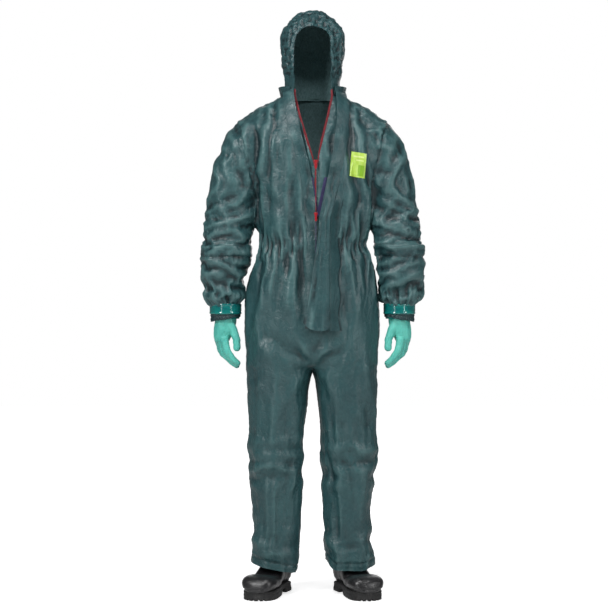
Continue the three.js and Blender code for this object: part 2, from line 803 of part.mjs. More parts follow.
const SOLE_TOP = 27;
const TREAD = { heelY: -78, wideY: -116, rise: 9 }; // the arch between the heel and the forepart
const ankleHole = solid(
  new THREE.CylinderGeometry(30, 33, 80, 18)
    .rotateX(Math.PI / 2)
    .scale(1, 1.35, 1)
    .translate(3, -36, 118),
);
const shoeUpper = upperForm(0, SOLE_TOP + GAP)
  .subtract(upperForm(-CLOTH, SOLE_TOP + 8))
  .subtract(ankleHole)
  .intersect(above(SOLE_TOP + GAP));
addPair("shoe_upper", placeShoe(shoeUpper), SHOE_LEATHER);

const sole = slab(footOutline(0), 0, SOLE_TOP)
  .subtract(block(-80, 80, TREAD.wideY, TREAD.heelY, -5, TREAD.rise))
  .add(slab(footOutline(2.4), 14, 19));
addPair("shoe_sole", placeShoe(sole), SHOE_RUBBER);
const insole = slab(footOutline(-8, 0.06, 0.9), SOLE_TOP + 11, SOLE_TOP + 14).intersect(
  upperForm(-CLOTH - 3.5, SOLE_TOP + 9.5),
);
addPair("insole", placeShoe(insole), ELASTIC);

const toeCap = upperForm(-CLOTH - 1.8, SOLE_TOP + 8)
  .subtract(upperForm(-CLOTH - 3.4, SOLE_TOP + 4))
  .intersect(block(-80, 80, -FAR, -212, SOLE_TOP + 16, 200));
addPair("toe_cap", placeShoe(toeCap), STEEL);

// Every piece above is placed from the body's own axis, which isn't the middle of the suit's box.
suit.position.y = BODY_AXIS_Y;

export default suit;
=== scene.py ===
"""Looks for a hooded chemical protective coverall, standing hollow in the shape of its wearer.
The cloth is one body form that is wrinkled by a small cloth solver, cut along its seams into
panels, and dressed with bands, zips, flap, rings, gloves and shoes. Metres, +Z up, facing -Y."""
import math

import bmesh
import bpy
import numpy as np
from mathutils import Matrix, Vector
from mathutils.bvhtree import BVHTree


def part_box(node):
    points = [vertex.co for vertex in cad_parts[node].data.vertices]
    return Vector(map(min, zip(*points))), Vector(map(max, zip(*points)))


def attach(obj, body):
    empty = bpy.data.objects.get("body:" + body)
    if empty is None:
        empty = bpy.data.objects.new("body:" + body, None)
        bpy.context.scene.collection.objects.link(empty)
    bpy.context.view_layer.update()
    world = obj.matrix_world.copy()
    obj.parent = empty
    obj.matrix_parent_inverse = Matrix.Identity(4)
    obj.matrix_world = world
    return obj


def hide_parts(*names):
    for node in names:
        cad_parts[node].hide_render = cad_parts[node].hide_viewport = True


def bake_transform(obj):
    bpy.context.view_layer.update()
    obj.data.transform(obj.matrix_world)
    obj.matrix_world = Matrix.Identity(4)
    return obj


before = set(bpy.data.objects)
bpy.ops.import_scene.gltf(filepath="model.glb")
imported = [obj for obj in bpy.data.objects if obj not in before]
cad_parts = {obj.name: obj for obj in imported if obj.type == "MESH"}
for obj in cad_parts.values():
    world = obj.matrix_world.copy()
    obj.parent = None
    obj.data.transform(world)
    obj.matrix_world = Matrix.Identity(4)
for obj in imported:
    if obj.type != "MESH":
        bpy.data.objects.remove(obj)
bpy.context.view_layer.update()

MM = 0.001
CLOTH_GRID = 0.016  # edge length of the first, coarsest cloth mesh
WALL = 0.0009  # thickness given to the finished cloth
SIGN = {"left": 1, "right": -1}  # the side of x that each side of the suit is on

# ---- Body sections in mm -----------------------------------------------------------------------
# height, centre x, half width, front depth, back depth, lean in degrees
TORSO = [
    (722, 0, 150, 84, 92, 0),
    (752, 0, 196, 108, 112, 0),
    (800, 0, 213, 122, 126, 0),
    (868, 0, 215, 126, 128, 0),
    (930, 0, 211, 127, 128, 0),
    (995, 0, 202, 127, 120, 0),
    (1060, 0, 184, 126, 106, 0),
    (1105, 0, 169, 122, 95, 0),
    (1160, 0, 172, 126, 103, 0),
    (1250, 0, 172, 128, 112, 0),
    (1340, 0, 186, 129, 117, 0),
    (1400, 0, 206, 126, 117, 0),
    (1450, 0, 226, 118, 114, 0),
    (1490, 0, 232, 106, 107, 0),
    (1514, 0, 214, 98, 101, 0),
    (1540, 0, 178, 90, 94, 0),
    (1562, 0, 128, 86, 88, 0),
    (1580, 0, 99, 84, 84, 0),
    (1612, 0, 90, 84, 82, 0),
]
LEG = [
    (54, 126, 81, 92, 91, 0),
    (100, 121, 79, 90, 89, 0),
    (150, 117, 76, 87, 86, 0),
    (220, 111, 77, 86, 86, 0),
    (310, 111, 80, 88, 88, 0),
    (440, 117, 90, 98, 94, 0),
    (530, 112, 89, 100, 97, 0),
    (612, 109, 95, 106, 104, 0),
    (720, 107, 102, 112, 112, 0),
    (860, 104, 92, 112, 114, 0),
]
SLEEVE = [
    (908, 277, 48, 50, 50, 0),
    (930, 279, 58, 60, 60, 0),
    (966, 286, 67, 71, 70, 0),
    (1027, 281, 75, 80, 78, 3),
    (1091, 273, 81, 86, 84, 4),
    (1155, 268, 79, 88, 86, 4),
    (1250, 256, 79, 88, 88, 6),
    (1340, 236, 80, 92, 92, 18),
    (1405, 212, 80, 92, 94, 36),
    (1450, 184, 70, 86, 88, 56),
]
HOOD = [
    (1556, 0, 93, 86, 84, 0),
    (1600, 0, 89, 90, 82, 0),
    (1640, 0, 90, 94, 92, 0),
    (1690, 0, 99, 96, 106, 0),
    (1728, 0, 104, 97, 116, 0),
    (1762, 0, 102, 94, 115, 0),
    (1792, 0, 95, 85, 106, 0),
    (1816, 0, 80, 70, 90, 0),
    (1833, 0, 60, 50, 66, 0),
    (1845, 0, 38, 30, 44, 0),
    (1853, 0, 14, 12, 18, 0),
]

# ---- Seam places in mm, as x and z ---------------------------------------------------------------
ARMHOLE_TOP = (240, 1503)
ARMHOLE_BOTTOM = (178, 1258)

# Free edges of the inner layer's front opening, from the neck down, as x and z.
INNER_RIGHT = [(-58, 1612), (-56, 1576), (-40, 1510), (-20, 1442),
               (3, 1365), (9, 1345), (9, 846), (10, 838)]
INNER_LEFT = [(60, 1612), (62, 1576), (48, 1510), (31, 1442),
              (17, 1365), (11, 1345), (11, 846), (10, 838)]

# ---- Seam places in metres -----------------------------------------------------------------------
ARMPIT_Z = ARMHOLE_BOTTOM[1] * MM
ELBOW_SEAM = 1.088
CUFF_END = 0.914
WAIST = 1.104
HIP_SEAM = 0.722
KNEE_SEAM = 0.452
NECK_SEAM = 1.578
SIDE_SEAM_Y = 0.004
ZIP_X = 0.010
FACE_HALF, FACE_SPRING, FACE_RISE = 0.058, 1.722, 0.076  # the hood's opening: straight, then arched
HOOD_SEAM_X = 0.038


# ---- Numeric helpers -----------------------------------------------------------------------------
def spline(rows, steps=5):
    """Runs a smooth curve through a table's rows."""
    rows = np.array(rows, float)
    ends = np.vstack([2 * rows[0] - rows[1], rows, 2 * rows[-1] - rows[-2]])
    out = []
    for i in range(1, len(ends) - 2):
        a, b, c, d = ends[i - 1 : i + 3]
        for t in np.linspace(0, 1, steps, endpoint=False):
            square = (2 * a - 5 * b + 4 * c - d) * t**2
            cube = (3 * b - a - 3 * c + d) * t**3
            out.append(0.5 * (2 * b + (c - a) * t + square + cube))
    out.append(ends[-2])
    return np.array(out)


def round_turns(count):
    """Angles that divide a full turn evenly."""
    return np.arange(count) * 2 * math.pi / count


def grid_faces(rows, columns, around=False, back=False):
    """Faces of a grid of points. around joins its last column to the first, back its last row."""
    return [
        (r * columns + c, r * columns + (c + 1) % columns,
         (r + 1) % rows * columns + (c + 1) % columns, (r + 1) % rows * columns + c)
        for r in range(rows if back else rows - 1)
        for c in range(columns if around else columns - 1)
    ]


def tube_faces(rows, columns):
    """Faces of a stack of rings that is capped at both ends."""
    last = (rows - 1) * columns
    caps = [tuple(reversed(range(columns))), tuple(last + i for i in range(columns))]
    return grid_faces(rows, columns, around=True) + caps


def loft(rows, side=1, sides=56, power=1.12):
    """Closed surface through a table of sections: returns vertices in metres and faces."""
    turn = round_turns(sides)
    bow = lambda v: np.sign(v) * np.abs(v) ** (1 / power)
    across, fore = bow(np.cos(turn)), bow(np.sin(turn))
    points = []
    for z, x, half, front, back, lean in spline(rows):
        lean = math.radians(lean)
        points.append(np.column_stack([
            side * (x + half * across * math.cos(lean)),
            np.where(fore < 0, front, back) * fore,
            z + half * across * math.sin(lean),
        ]))
    faces = tube_faces(len(points), sides)
    if side < 0:
        faces = [f[::-1] for f in faces]
    return np.vstack(points) * MM, faces


def gather(parts):
    """Joins parts, each with vertices and faces, into one."""
    verts, faces, base = [], [], 0
    for v, f in parts:
        verts.append(v)
        faces += [tuple(int(i) + base for i in face) for face in f]
        base += len(v)
    return np.vstack(verts), faces


def modified(obj, kind, **settings):
    """Returns a copy of obj's mesh with one modifier applied."""
    modifier = obj.modifiers.new("m", kind)
    for key, value in settings.items():
        setattr(modifier, key, value)
    graph = bpy.context.evaluated_depsgraph_get()
    mesh = bpy.data.meshes.new_from_object(obj.evaluated_get(graph))
    obj.modifiers.remove(modifier)
    return mesh


def coords(mesh):
    """A mesh's points as an array."""
    out = np.zeros(len(mesh.vertices) * 3)
    mesh.vertices.foreach_get("co", out)
    return out.reshape(-1, 3)


def quads(mesh):
    """A mesh's faces as an array of four corners each."""
    out = np.zeros(len(mesh.loops), int)
    mesh.loops.foreach_get("vertex_index", out)
    return out.reshape(-1, 4)


def reworked(points, faces, kind, **settings):
    """The points and faces, as arrays, that one modifier makes of a mesh."""
    before = bpy.data.meshes.new("scratch")
    before.from_pydata([tuple(v) for v in points], [], [tuple(int(i) for i in f) for f in faces])
    before.update()
    obj = bpy.data.objects.new("scratch", before)
    bpy.context.scene.collection.objects.link(obj)
    after = modified(obj, kind, **settings)
    result = coords(after), quads(after)
    bpy.data.objects.remove(obj)
    bpy.data.meshes.remove(before)
    bpy.data.meshes.remove(after)
    return result


def skin(parts, grid):
    """One even mesh over the union of closed surfaces."""
    return reworked(*gather(parts), "REMESH", mode="VOXEL", voxel_size=grid)


def subdivided(points, faces):
    return reworked(points, faces, "SUBSURF", levels=1, render_levels=1)


def unit(vectors):
    """The vectors, each made one long."""
    return vectors / np.maximum(np.linalg.norm(vectors, axis=1), 1e-12)[:, None]


def summed(index, vectors, count):
    """Adds each vector to the point that its index names."""
    return np.column_stack([np.bincount(index, column, count) for column in vectors.T])


def normals(points, faces):
    """Point normals of a mesh of quads."""
    a, b, c, d = (points[faces[:, k]] for k in range(4))
    turn = np.cross(c - a, d - b)
    return unit(sum(summed(faces[:, k], turn, len(points)) for k in range(4)))


def face_turns(points, faces):
    """Each face's direction, from its first three corners; the faces may have any number."""
    a, b, c = (points[np.array([f[k] for f in faces])] for k in range(3))
    return np.cross(b - a, c - a)


def springs(faces):
    """Every edge, and both diagonals, of a mesh of quads."""
    edges = np.vstack([faces[:, [i, (i + 1) % 4]] for i in range(4)])
    edges = np.unique(np.sort(edges, axis=1), axis=0)
    return edges, np.vstack([faces[:, [0, 2]], faces[:, [1, 3]]])


def spread(index_a, index_b, values, count):
    """Sums a per-spring vector onto its two ends, with opposite signs."""
    return summed(index_a, values, count) - summed(index_b, values, count)


def link_counts(a, b, count):
    """How many springs end at each point."""
    return np.bincount(a, minlength=count) + np.bincount(b, minlength=count)


def relax(points, sides, rounds, share=0.5):
    """Moves each point towards the middle of its neighbours."""
    a, b = sides.T
    count = len(points)
    degree = link_counts(a, b, count)
    share = np.broadcast_to(share, count)[:, None]
    for _ in range(rounds):
        points = points + share * spread(a, b, points[b] - points[a], count) / degree[:, None]
    return points


def noise(points, size, seed):
    """Smooth noise from -1 to 1 whose lumps are about `size` metres across."""
    p = points / size + seed * 17.31
    cell = np.floor(p).astype(np.int64)
    f = p - cell
    f = f * f * f * (f * (f * 6 - 15) + 10)
    total = np.zeros(len(points))
    for corner in range(8):
        o = np.array([corner & 1, corner >> 1 & 1, corner >> 2])
        q = cell + o
        h = q[:, 0] * 374761393 + q[:, 1] * 668265263 + q[:, 2] * 2147483647 + seed * 1274126177
        h = (h ^ (h >> 13)) * 1274126177 & 0xFFFFFFFF
        h = (h ^ (h >> 16)) & 0xFFFF
        w = np.prod(np.where(o == 1, f, 1 - f), axis=1)
        total += w * (h / 32767.5 - 1)
    return total


def creases(points, size, seed):
    """Sharp-ridged noise from 0 to 1: crumpled cloth's folded edges."""
    a = 1 - np.abs(noise(points, size, seed)) * 2.2
    b = 1 - np.abs(noise(points, size * 0.53, seed + 5)) * 2.2
    return np.clip(a, 0, 1) ** 2 * 0.65 + np.clip(b, 0, 1) ** 2 * 0.35


def bell(value, centre, width):
    """1 at the centre, falling smoothly to nothing about two widths away."""
    return np.exp(-(((value - centre) / width) ** 2))


def ramp(value, low, high):
    """Rises smoothly from 0 at low to 1 at high."""
    t = np.clip((value - low) / (high - low), 0, 1)
    return t * t * (3 - 2 * t)


def wrinkle(points, faces, seed_shape, grow_around, grow_along, hold, axis, rounds, stiffness, cap):
    """Cloth that is a little too big for its body: springs longer than the surface make it buckle.
    seed_shape starts the folds, hold keeps each point near the body, axis is the limb's direction."""
    sides, cross = springs(faces)
    links = np.vstack([sides, cross])
    a, b = links[:, 0], links[:, 1]
    gap = points[b] - points[a]
    length = np.linalg.norm(gap, axis=1)
    along = (np.einsum("ij,ij->i", gap, axis[a]) / length) ** 2
    around_share = (grow_around[a] + grow_around[b]) / 2
    along_share = (grow_along[a] + grow_along[b]) / 2
    rest = length * (1 + along * along_share + (1 - along) * around_share)
    degree = link_counts(a, b, len(points))
    start = now = points + normals(points, faces) * seed_shape[:, None]
    hold = hold[:, None]
    for step in range(rounds):
        gap = now[b] - now[a]
        length = np.linalg.norm(gap, axis=1)
        push = gap * (0.5 * (length - rest) / length)[:, None]
        now = now + 1.6 * spread(a, b, push, len(now)) / degree[:, None]
        now = now + hold * (start - now)
        if step % 3 == 0 and step < rounds - 4:
            now = relax(now, sides, 1, stiffness)
    move = now - start
    size = np.linalg.norm(move, axis=1)
    move *= (cap * np.tanh(size / cap) / np.maximum(size, 1e-9))[:, None]
    return start + move


# ---- The body form ---------------------------------------------------------------------------------
def armhole_distance(x, z):
    """How far a point is out past the armhole seam's plane, in metres; x is measured outwards."""
    across = ARMHOLE_TOP[0] - ARMHOLE_BOTTOM[0]
    rise = ARMHOLE_TOP[1] - ARMHOLE_BOTTOM[1]
    length = math.hypot(across, rise)
    return ((x - ARMHOLE_BOTTOM[0] * MM) * rise - (z - ARMPIT_Z) * across) / length


# The limbs are moved apart while the cloth is made, so that they don't fuse, and back afterwards.
SPREAD = {"arm_top": 1.300, "arm_bend": 0.06, "arm_slope": 0.30,
          "leg_top": 0.772, "leg_bend": 0.09, "leg": 0.024}


def armpit_x(z):
    """Where the sleeve and the trunk part below the armhole."""
    return 0.182 + 0.16 * (ARMPIT_Z - z)


def is_arm(x, z):
    """Whether a point of the spread form is on a sleeve. x is measured outwards."""
    return np.where(z < ARMPIT_Z, x > armpit_x(z), armhole_distance(x, z) > 0) & (z > 0.84)


def arm_shift(out, z):
    """How far a sleeve's point is moved: nothing at the armhole or above the bend's top."""
    drop = np.maximum(0, SPREAD["arm_top"] - z)
    bend = SPREAD["arm_bend"]
    shift = SPREAD["arm_slope"] * np.where(drop < bend, drop**2 / (2 * bend), drop - bend / 2)
    return shift * ramp(armhole_distance(out, z), 0, 0.08)


def leg_shift(z):
    return SPREAD["leg"] * ramp(SPREAD["leg_top"] - z, 0, SPREAD["leg_bend"])


def spread_arm(part):
    verts, faces = part
    out = np.abs(verts[:, 0])
    verts[:, 0] += np.sign(verts[:, 0]) * arm_shift(out, verts[:, 2])
    return verts, faces


def spread_leg(part):
    verts, faces = part
    verts[:, 0] += np.sign(verts[:, 0].mean()) * leg_shift(verts[:, 2])
    return verts, faces


def unspread(points, arm):
    """Brings the sleeves back in and the legs back together."""
    points = points.copy()
    side = np.sign(points[:, 0])
    x, z = np.abs(points[:, 0]), points[:, 2]
    back = x.copy()
    for _ in range(8):
        back = x - np.where(arm, arm_shift(back, z), 0)
    leg = z < SPREAD["leg_top"]
    back = np.where(arm, back, x - np.where(leg, leg_shift(z), 0) * ramp(x, 0, 0.012))
    points[:, 0] = side * back
    return points


def body_fields(points, arm, scale):
    """How much too big the cloth is, round each limb and along it, and how firmly it is held."""
    x, y, z = np.abs(points[:, 0]), points[:, 1], points[:, 2]
    leg = ~arm & (z < HIP_SEAM)
    trunk = ~arm & ~leg
    waist = bell(z, WAIST, 0.06)
    cuff = bell(z, 0.925, 0.05)
    around = np.where(trunk, 0.055 + 0.09 * waist, 0.02)
    around = np.where(arm, 0.035 + 0.14 * cuff, around)
    along = np.where(trunk, 0.012 + 0.02 * waist, 0.022)
    knee = bell(z, 0.42, 0.09) + bell(z, 0.16, 0.07)
    along = np.where(leg, 0.018 + 0.036 * knee, along)
    elbow = bell(z, 1.10, 0.10) + bell(z, 0.98, 0.05)
    along = np.where(arm, 0.05 + 0.06 * elbow, along)
    hold = np.full(len(points), 0.0035)
    hold += 0.06 * np.where(trunk, bell(z, WAIST, 0.010), 0)
    hold += 0.10 * np.where(arm, bell(z, 0.912, 0.012), 0)
    hold += 0.03 * (trunk & (z > 1.56))
    hold += 0.02 * np.where(trunk, bell(x, 0, 0.05) * (y < 0), 0)
    return around * scale, along * scale, hold


def limb_axis(points, arm):
    """The direction along the limb or the trunk at each point."""
    axis = np.tile([0.0, 0.0, 1.0], (len(points), 1))
    lean = np.sign(points[:, 0]) * np.where(points[:, 2] > 1.3, 0.7, 0.35)
    axis[:, 0] = np.where(arm, -lean, 0)
    return unit(axis)


# Folds of the front that the cloth is started with: from x, z to x, z, then width and height, in mm.
# A height below 0 is a hollow. The cloth solver flattens them, so they are started FOLD_START higher.
FOLD_START = 2.5
FRONT_FOLDS = [
    (-150, 1480, -140, 1190, 17, 9),
    (-112, 1460, -100, 1150, 15, 7),
    (-72, 1400, -84, 1170, 14, 6),
    (-168, 1330, -128, 1420, 16, 8),
    (120, 1300, 132, 1130, 15, 7),
    (150, 1460, 158, 1180, 15, 8),
    (96, 1260, 84, 1130, 12, 5),
    (170, 1350, 128, 1440, 14, 6),
    (-120, 1060, -150, 900, 20, 6),
    (-60, 1060, -78, 900, 17, 5),
    (110, 1060, 140, 880, 18, 6),
    (70, 1050, 82, 860, 14, 4),
    (-150, 815, -60, 770, 16, -6),
    (-40, 800, -6, 742, 11, 7),
    (46, 800, 10, 742, 11, 7),
    (-95, 770, -14, 745, 10, -5),
    (95, 775, 18, 745, 10, -5),
    (160, 730, 198, 540, 11, 8),
    (150, 452, 208, 446, 12, 9),
    (130, 470, 168, 440, 10, 5),
    (-202, 392, -120, 404, 13, 9),
    (-120, 404, -78, 392, 12, 6),
    (-200, 362, -110, 372, 12, -5),
    (-196, 165, -120, 150, 13, 8),
    (-190, 132, -110, 128, 11, 6),
    (60, 170, 90, 110, 14, 5),
    (150, 180, 170, 100, 14, 6),
    (-130, 640, -120, 480, 22, 4),
    (90, 400, 96, 200, 18, 4),
    (150, 400, 146, 220, 18, 5),
    (-140, 340, -128, 200, 18, 4),
    (-34, 1086, -34, 862, 9, -5),
    (82, 1090, 80, 862, 8, -4),
    (-128, 1290, -60, 1210, 12, 5),
    (64, 1300, 118, 1232, 12, 5),
    (-150, 1010, -176, 830, 14, 5),
    (-30, 700, -86, 610, 13, 4),
    (34, 700, 84, 600, 13, 4),
    (-143, 1529, -171, 1451, 8, -3.0),
    (-122, 1545, -122, 1382, 8, -3.0),
    (-131, 1443, -131, 1293, 7, 2.6),
    (-164, 1375, -148, 1276, 7, 2.4),
    (-114, 1271, -112, 1140, 6, -2.6),
    (-105, 1385, -49, 1332, 9, 2.6),
    (-289, 1382, -253, 1305, 9, 3.0),
    (-322, 1215, -277, 1232, 8, 2.8),
    (-277, 1232, -257, 1183, 8, 2.8),
    (-273, 1226, -196, 1130, 10, -3.2),
    (-241, 1343, -188, 1252, 10, -3.4),
    (-310, 1060, -250, 1020, 8, 2.6),
    (-300, 1030, -240, 985, 8, -2.6),
    (138, 1540, 166, 1462, 8, -3.0),
    (118, 1548, 112, 1400, 8, -2.8),
    (186, 1440, 176, 1300, 8, 2.8),
    (152, 1330, 146, 1160, 7, -3.0),
    (112, 1280, 104, 1150, 7, 2.6),
    (284, 1390, 244, 1300, 9, 3.0),
    (246, 1350, 196, 1256, 10, -3.4),
    (270, 1230, 200, 1140, 10, -3.2),
    (316, 1210, 262, 1176, 8, 2.8),
    (306, 1050, 246, 1010, 8, 2.6),
    (-170, 700, -176, 520, 9, 2.4),
    (-70, 690, -84, 520, 9, -2.2),
    (80, 690, 76, 500, 9, 2.2),
    (180, 690, 172, 500, 9, -2.4),
    (-160, 330, -170, 180, 9, 2.4),
    (-90, 340, -86, 180, 9, -2.2),
    (110, 330, 116, 160, 9, 2.4),
    (70, 320, 78, 170, 9, -2.2),
]


def placed_folds(points, facing):
    """Height of the placed folds at each point; each is a ridge with a hollow beside it."""
    x, z = points[:, 0] / MM, points[:, 2] / MM
    total = np.zeros(len(points))
    for x0, z0, x1, z1, width, height in FRONT_FOLDS:
        length = math.hypot(x1 - x0, z1 - z0)
        ux, uz = (x1 - x0) / length, (z1 - z0) / length
        along = (x - x0) * ux + (z - z0) * uz
        off = (x - x0) * uz - (z - z0) * ux
        off = off + 0.12 * width * np.sin(along / 26)
        ends = ramp(along, -25, 30) * ramp(length - along, -25, 40)
        shape = bell(off, 0, width) - 0.55 * bell(off, 1.7 * width, width)
        total += FOLD_START * height * ends * shape
    return total * MM * facing


def hanging_folds(points, arm, size, seed):
    """How far the cloth stands off its body in loose folds, in metres."""
    x, z = np.abs(points[:, 0]), points[:, 2]
    warp = 0.35 * size * noise(points, size * 2.2, seed + 9)
    hang = (points + warp[:, None]) * np.array([1, 1, 0.16])
    fall = noise(hang, size, seed) + 0.5 * (0.5 - np.abs(noise(hang, size * 0.7, seed + 1)) * 2)
    steep = 0.45 + 1.2 * ramp(z, 1.05, 1.32)
    slant = (z - steep * x) / np.hypot(1, steep)
    skew = np.column_stack([points[:, 0] * 0.3, points[:, 1] * 0.45, slant + warp])
    twist = noise(skew, size * 0.8, seed + 2) + 0.5 * (0.5 - np.abs(noise(skew, size * 0.6, seed + 3)) * 2)
    cross = np.column_stack([points[:, 0] * 0.4, points[:, 1] * 0.4, z + 0.3 * warp])
    rings = noise(cross, size * 0.7, seed + 4)
    chest = ramp(z, 1.10, 1.16) * ramp(1.53 - z, 0, 0.1)
    skirt = ramp(z, 0.86, 1.02) * ramp(1.11 - z, 0, 0.04)
    trunk = fall * (0.10 + 0.9 * chest + 0.7 * skirt)
    bunch = bell(z, 0.42, 0.07) + bell(z, 0.15, 0.06)
    leg = 0.36 * fall + rings * (0.12 + 0.42 * bunch)
    sleeve = twist * (0.78 - 0.3 * bell(z, 1.45, 0.06)) + 0.5 * rings * bell(z, 0.96, 0.05)
    height = np.where(arm, sleeve, np.where(z < HIP_SEAM, leg, trunk))
    return height * size * 0.215


def gathers(points, arm, seed):
    """Pleats where elastic draws the waist and the cuffs in."""
    x, y, z = points.T
    turn = np.arctan2(y, x)
    sleeve_turn = np.arctan2(y, np.abs(x) - 0.278)
    wobble = 0.9 * noise(points * np.array([1, 1, 0.4]), 0.06, seed)
    pleats = np.sin(turn * 46 + wobble * 4) + 0.6 * np.sin(turn * 71 + wobble * 6 + 1)
    cuff_pleats = np.sin(sleeve_turn * 15 + wobble * 9) + 0.7 * np.sin(sleeve_turn * 26 + wobble * 12)
    band = bell(z, WAIST, 0.038) * (1 - 0.8 * bell(x, 0.012, 0.05) * (y < 0))
    cuff = bell(z, 0.930, 0.026)
    return np.where(arm, 0.0026 * cuff * cuff_pleats, 0.0021 * band * pleats)


def worn_body():
    """The coverall below the hood: spread base points, the same points brought back together, worn
    points, faces, a sleeve mask, and how far each point lies in a fold (below 0) or on one."""
    parts = [loft(TORSO)]
    for side in (1, -1):
        parts.append(spread_leg(loft(LEG, side)))
        parts.append(spread_arm(loft(SLEEVE, side)))
    points, faces = skin(parts, CLOTH_GRID)
    edges, _ = springs(faces)
    points = relax(points, edges, 6)
    base = worn = points
    for level, (size, scale, rounds) in enumerate([(0.062, 1.0, 240), (0.034, 0.5, 110)]):
        arm = is_arm(np.abs(base[:, 0]), base[:, 2])
        out = normals(worn, faces)
        seed = hanging_folds(base, arm, size, 3 + level)
        if not level:
            seed = seed + placed_folds(unspread(base, arm), ramp(-out[:, 1], 0.0, 0.5))
        around, along, hold = body_fields(base, arm, scale)
        worn = wrinkle(worn, faces, seed, around, along, hold + 0.004 * level,
                       limb_axis(base, arm), rounds, 0.05, 0.05)
        base, finer = subdivided(base, faces)
        worn, _ = subdivided(worn, faces)
        faces = finer
    arm = is_arm(np.abs(base[:, 0]), base[:, 2])
    worn = unspread(worn, arm)
    plain = unspread(base, arm)
    out = normals(worn, faces)
    edges, _ = springs(faces)
    fold = worn - relax(worn, edges, 40)
    worn = worn + np.where(arm, 0.25, 0.75)[:, None] * fold
    crumple = creases(plain * np.array([1, 1, 0.5]), 0.030, 21) * 0.0013
    crumple = crumple + creases(plain, 0.014, 22) * 0.0008
    calm = 1 - 0.5 * bell(np.abs(plain[:, 0]), 0, 0.03)
    worn = worn + out * (crumple * calm + gathers(plain, arm, 31))[:, None]
    fine = worn - relax(worn, edges, 8)
    # depth is the fold relief: the cloth material paints shade into its hollows and highlights onto its
    # ridges.
    share = 0.2 + 0.8 * ramp(plain[:, 2], 0.86, 1.10)
    relief = fold / 0.0042 + fine * share[:, None] / 0.0017
    depth = np.clip(np.einsum("ij,ij->i", relief, out), -1, 1)
    return base, plain, worn, faces, arm, depth


# ---- Cutting the worn form into panels -----------------------------------------------------------
class Sheet:
    """A cloth surface: one row of data for each point, its four-sided faces, and its other faces."""

    PLAIN, WORN, SEAM, DEPTH = slice(0, 3), slice(3, 6), 6, 7
    SNAP = 0.0005  # a point this near a cut is moved onto it, which avoids slivers

    def __init__(self, data, square, loose=()):
        self.data, self.square, self.loose = data, square, list(loose)

    def with_field(self, value):
        """The same sheet with one more column, which is zero where it is to be cut."""
        return Sheet(np.column_stack([self.data, value]), self.square, self.loose)

    def split(self, value):
        """Cuts along the line where value is zero: returns the sheets below and above zero."""
        cut = self.with_field(np.where(np.abs(value) < self.SNAP, 0, value))
        value = cut.data[:, -1]
        corner = value[cut.square]
        crossed = (corner.min(1) < 0) & (corner.max(1) > 0)
        whole, rows, made = cut.square[~crossed], [], {}

        def between(a, b):
            key = (min(a, b), max(a, b))
            if key not in made:
                share = value[a] / (value[a] - value[b])
                made[key] = len(value) + len(rows)
                rows.append(cut.data[a] * (1 - share) + cut.data[b] * share)
            return made[key]

        low, high = [], []
        for face in [tuple(f) for f in cut.square[crossed]] + cut.loose:
            under, over = [], []
            for a, b in zip(face, face[1:] + face[:1]):
                if value[a] <= 0:
                    under.append(a)
                if value[a] >= 0:
                    over.append(a)
                if value[a] * value[b] < 0:
                    under.append(between(a, b))
                    over.append(under[-1])
            if len(under) > 2 and min(value[i] if i < len(value) else 0 for i in under) < 0:
                low.append(tuple(under))
            if len(over) > 2 and max(value[i] if i < len(value) else 0 for i in over) > 0:
                high.append(tuple(over))
        data = np.vstack([cut.data] + rows) if rows else cut.data
        middle = value[whole].sum(1)
        return (
            Sheet(data[:, :-1], whole[middle < 0], low).packed(),
            Sheet(data[:, :-1], whole[middle >= 0], high).packed(),
        )

    def packed(self):
        """The same sheet without the points that no face uses."""
        used = np.zeros(len(self.data), bool)
        used[self.square.ravel()] = True
        for face in self.loose:
            used[list(face)] = True
        index = np.cumsum(used) - 1
        loose = [tuple(int(index[i]) for i in face) for face in self.loose]
        return Sheet(self.data[used], index[self.square], loose)

    def faces(self):
        return [tuple(int(i) for i in f) for f in self.square] + self.loose

    @property
    def plain(self):
        return self.data[:, self.PLAIN]

    @property
    def worn(self):
        return self.data[:, self.WORN]


def edge_x(edge, z):
    """x of a free edge at each height, in metres; below its last point it runs down the zip line."""
    x, height = np.array(edge[::-1]).T * MM
    return np.interp(z, height, x)


def hem_height(x, y):
    """The right hem slopes down towards the other leg; the left one hangs nearly level."""
    right = 0.087 + 0.22 * (-x - 0.135)
    left = 0.080 + 0.024 * ramp(0.072 - x, 0, 0.028) + 0.012 * ramp(x, 0.15, 0.20)
    return np.where(x < 0, right, left) + 0.05 * (y + 0.088)


def seam_distance(plain, arm):
    """Distance in metres to the nearest sewn seam."""
    x, y, z = plain.T
    out = np.abs(x)
    low_leg = z < HIP_SEAM
    side = np.abs(y - SIDE_SEAM_Y)
    armhole = np.abs(armhole_distance(out, z)) + np.maximum(0, 1.25 - z)
    under_sleeve = np.where(y > 0, np.abs(out - 0.262 - 0.16 * (z - 1.1)), 1)
    waist = np.where(y > 0, np.abs(z - WAIST), 1)
    middle = np.where((y > 0) & (z < WAIST) & ~low_leg, out, 1)
    hem = np.abs(z - hem_height(x, y) - 0.022)
    neck = np.abs(z - NECK_SEAM)
    on_arm = np.minimum.reduce([np.abs(z - 1.070), np.abs(z - 1.107), armhole, under_sleeve])
    on_body = np.minimum.reduce([side, waist, middle, hem, neck, armhole])
    return np.where(arm, on_arm, on_body)


def sewn(plain, worn, out, arm):
    """Draws the cloth in along its seams, stands the seam allowance up beside them and puckers it."""
    z = plain[:, 2]
    near = seam_distance(plain, arm)
    groove = -0.0022 * bell(near, 0, 0.0035) + 0.0012 * bell(near, 0.008, 0.005)
    height = groove + 0.0011 * noise(plain, 0.011, 41) * bell(near, 0.004, 0.011)
    band = arm * ramp(z, 1.068, 1.073) * ramp(1.110 - z, 0, 0.005)
    return worn + out * (height + 0.0016 * band)[:, None]


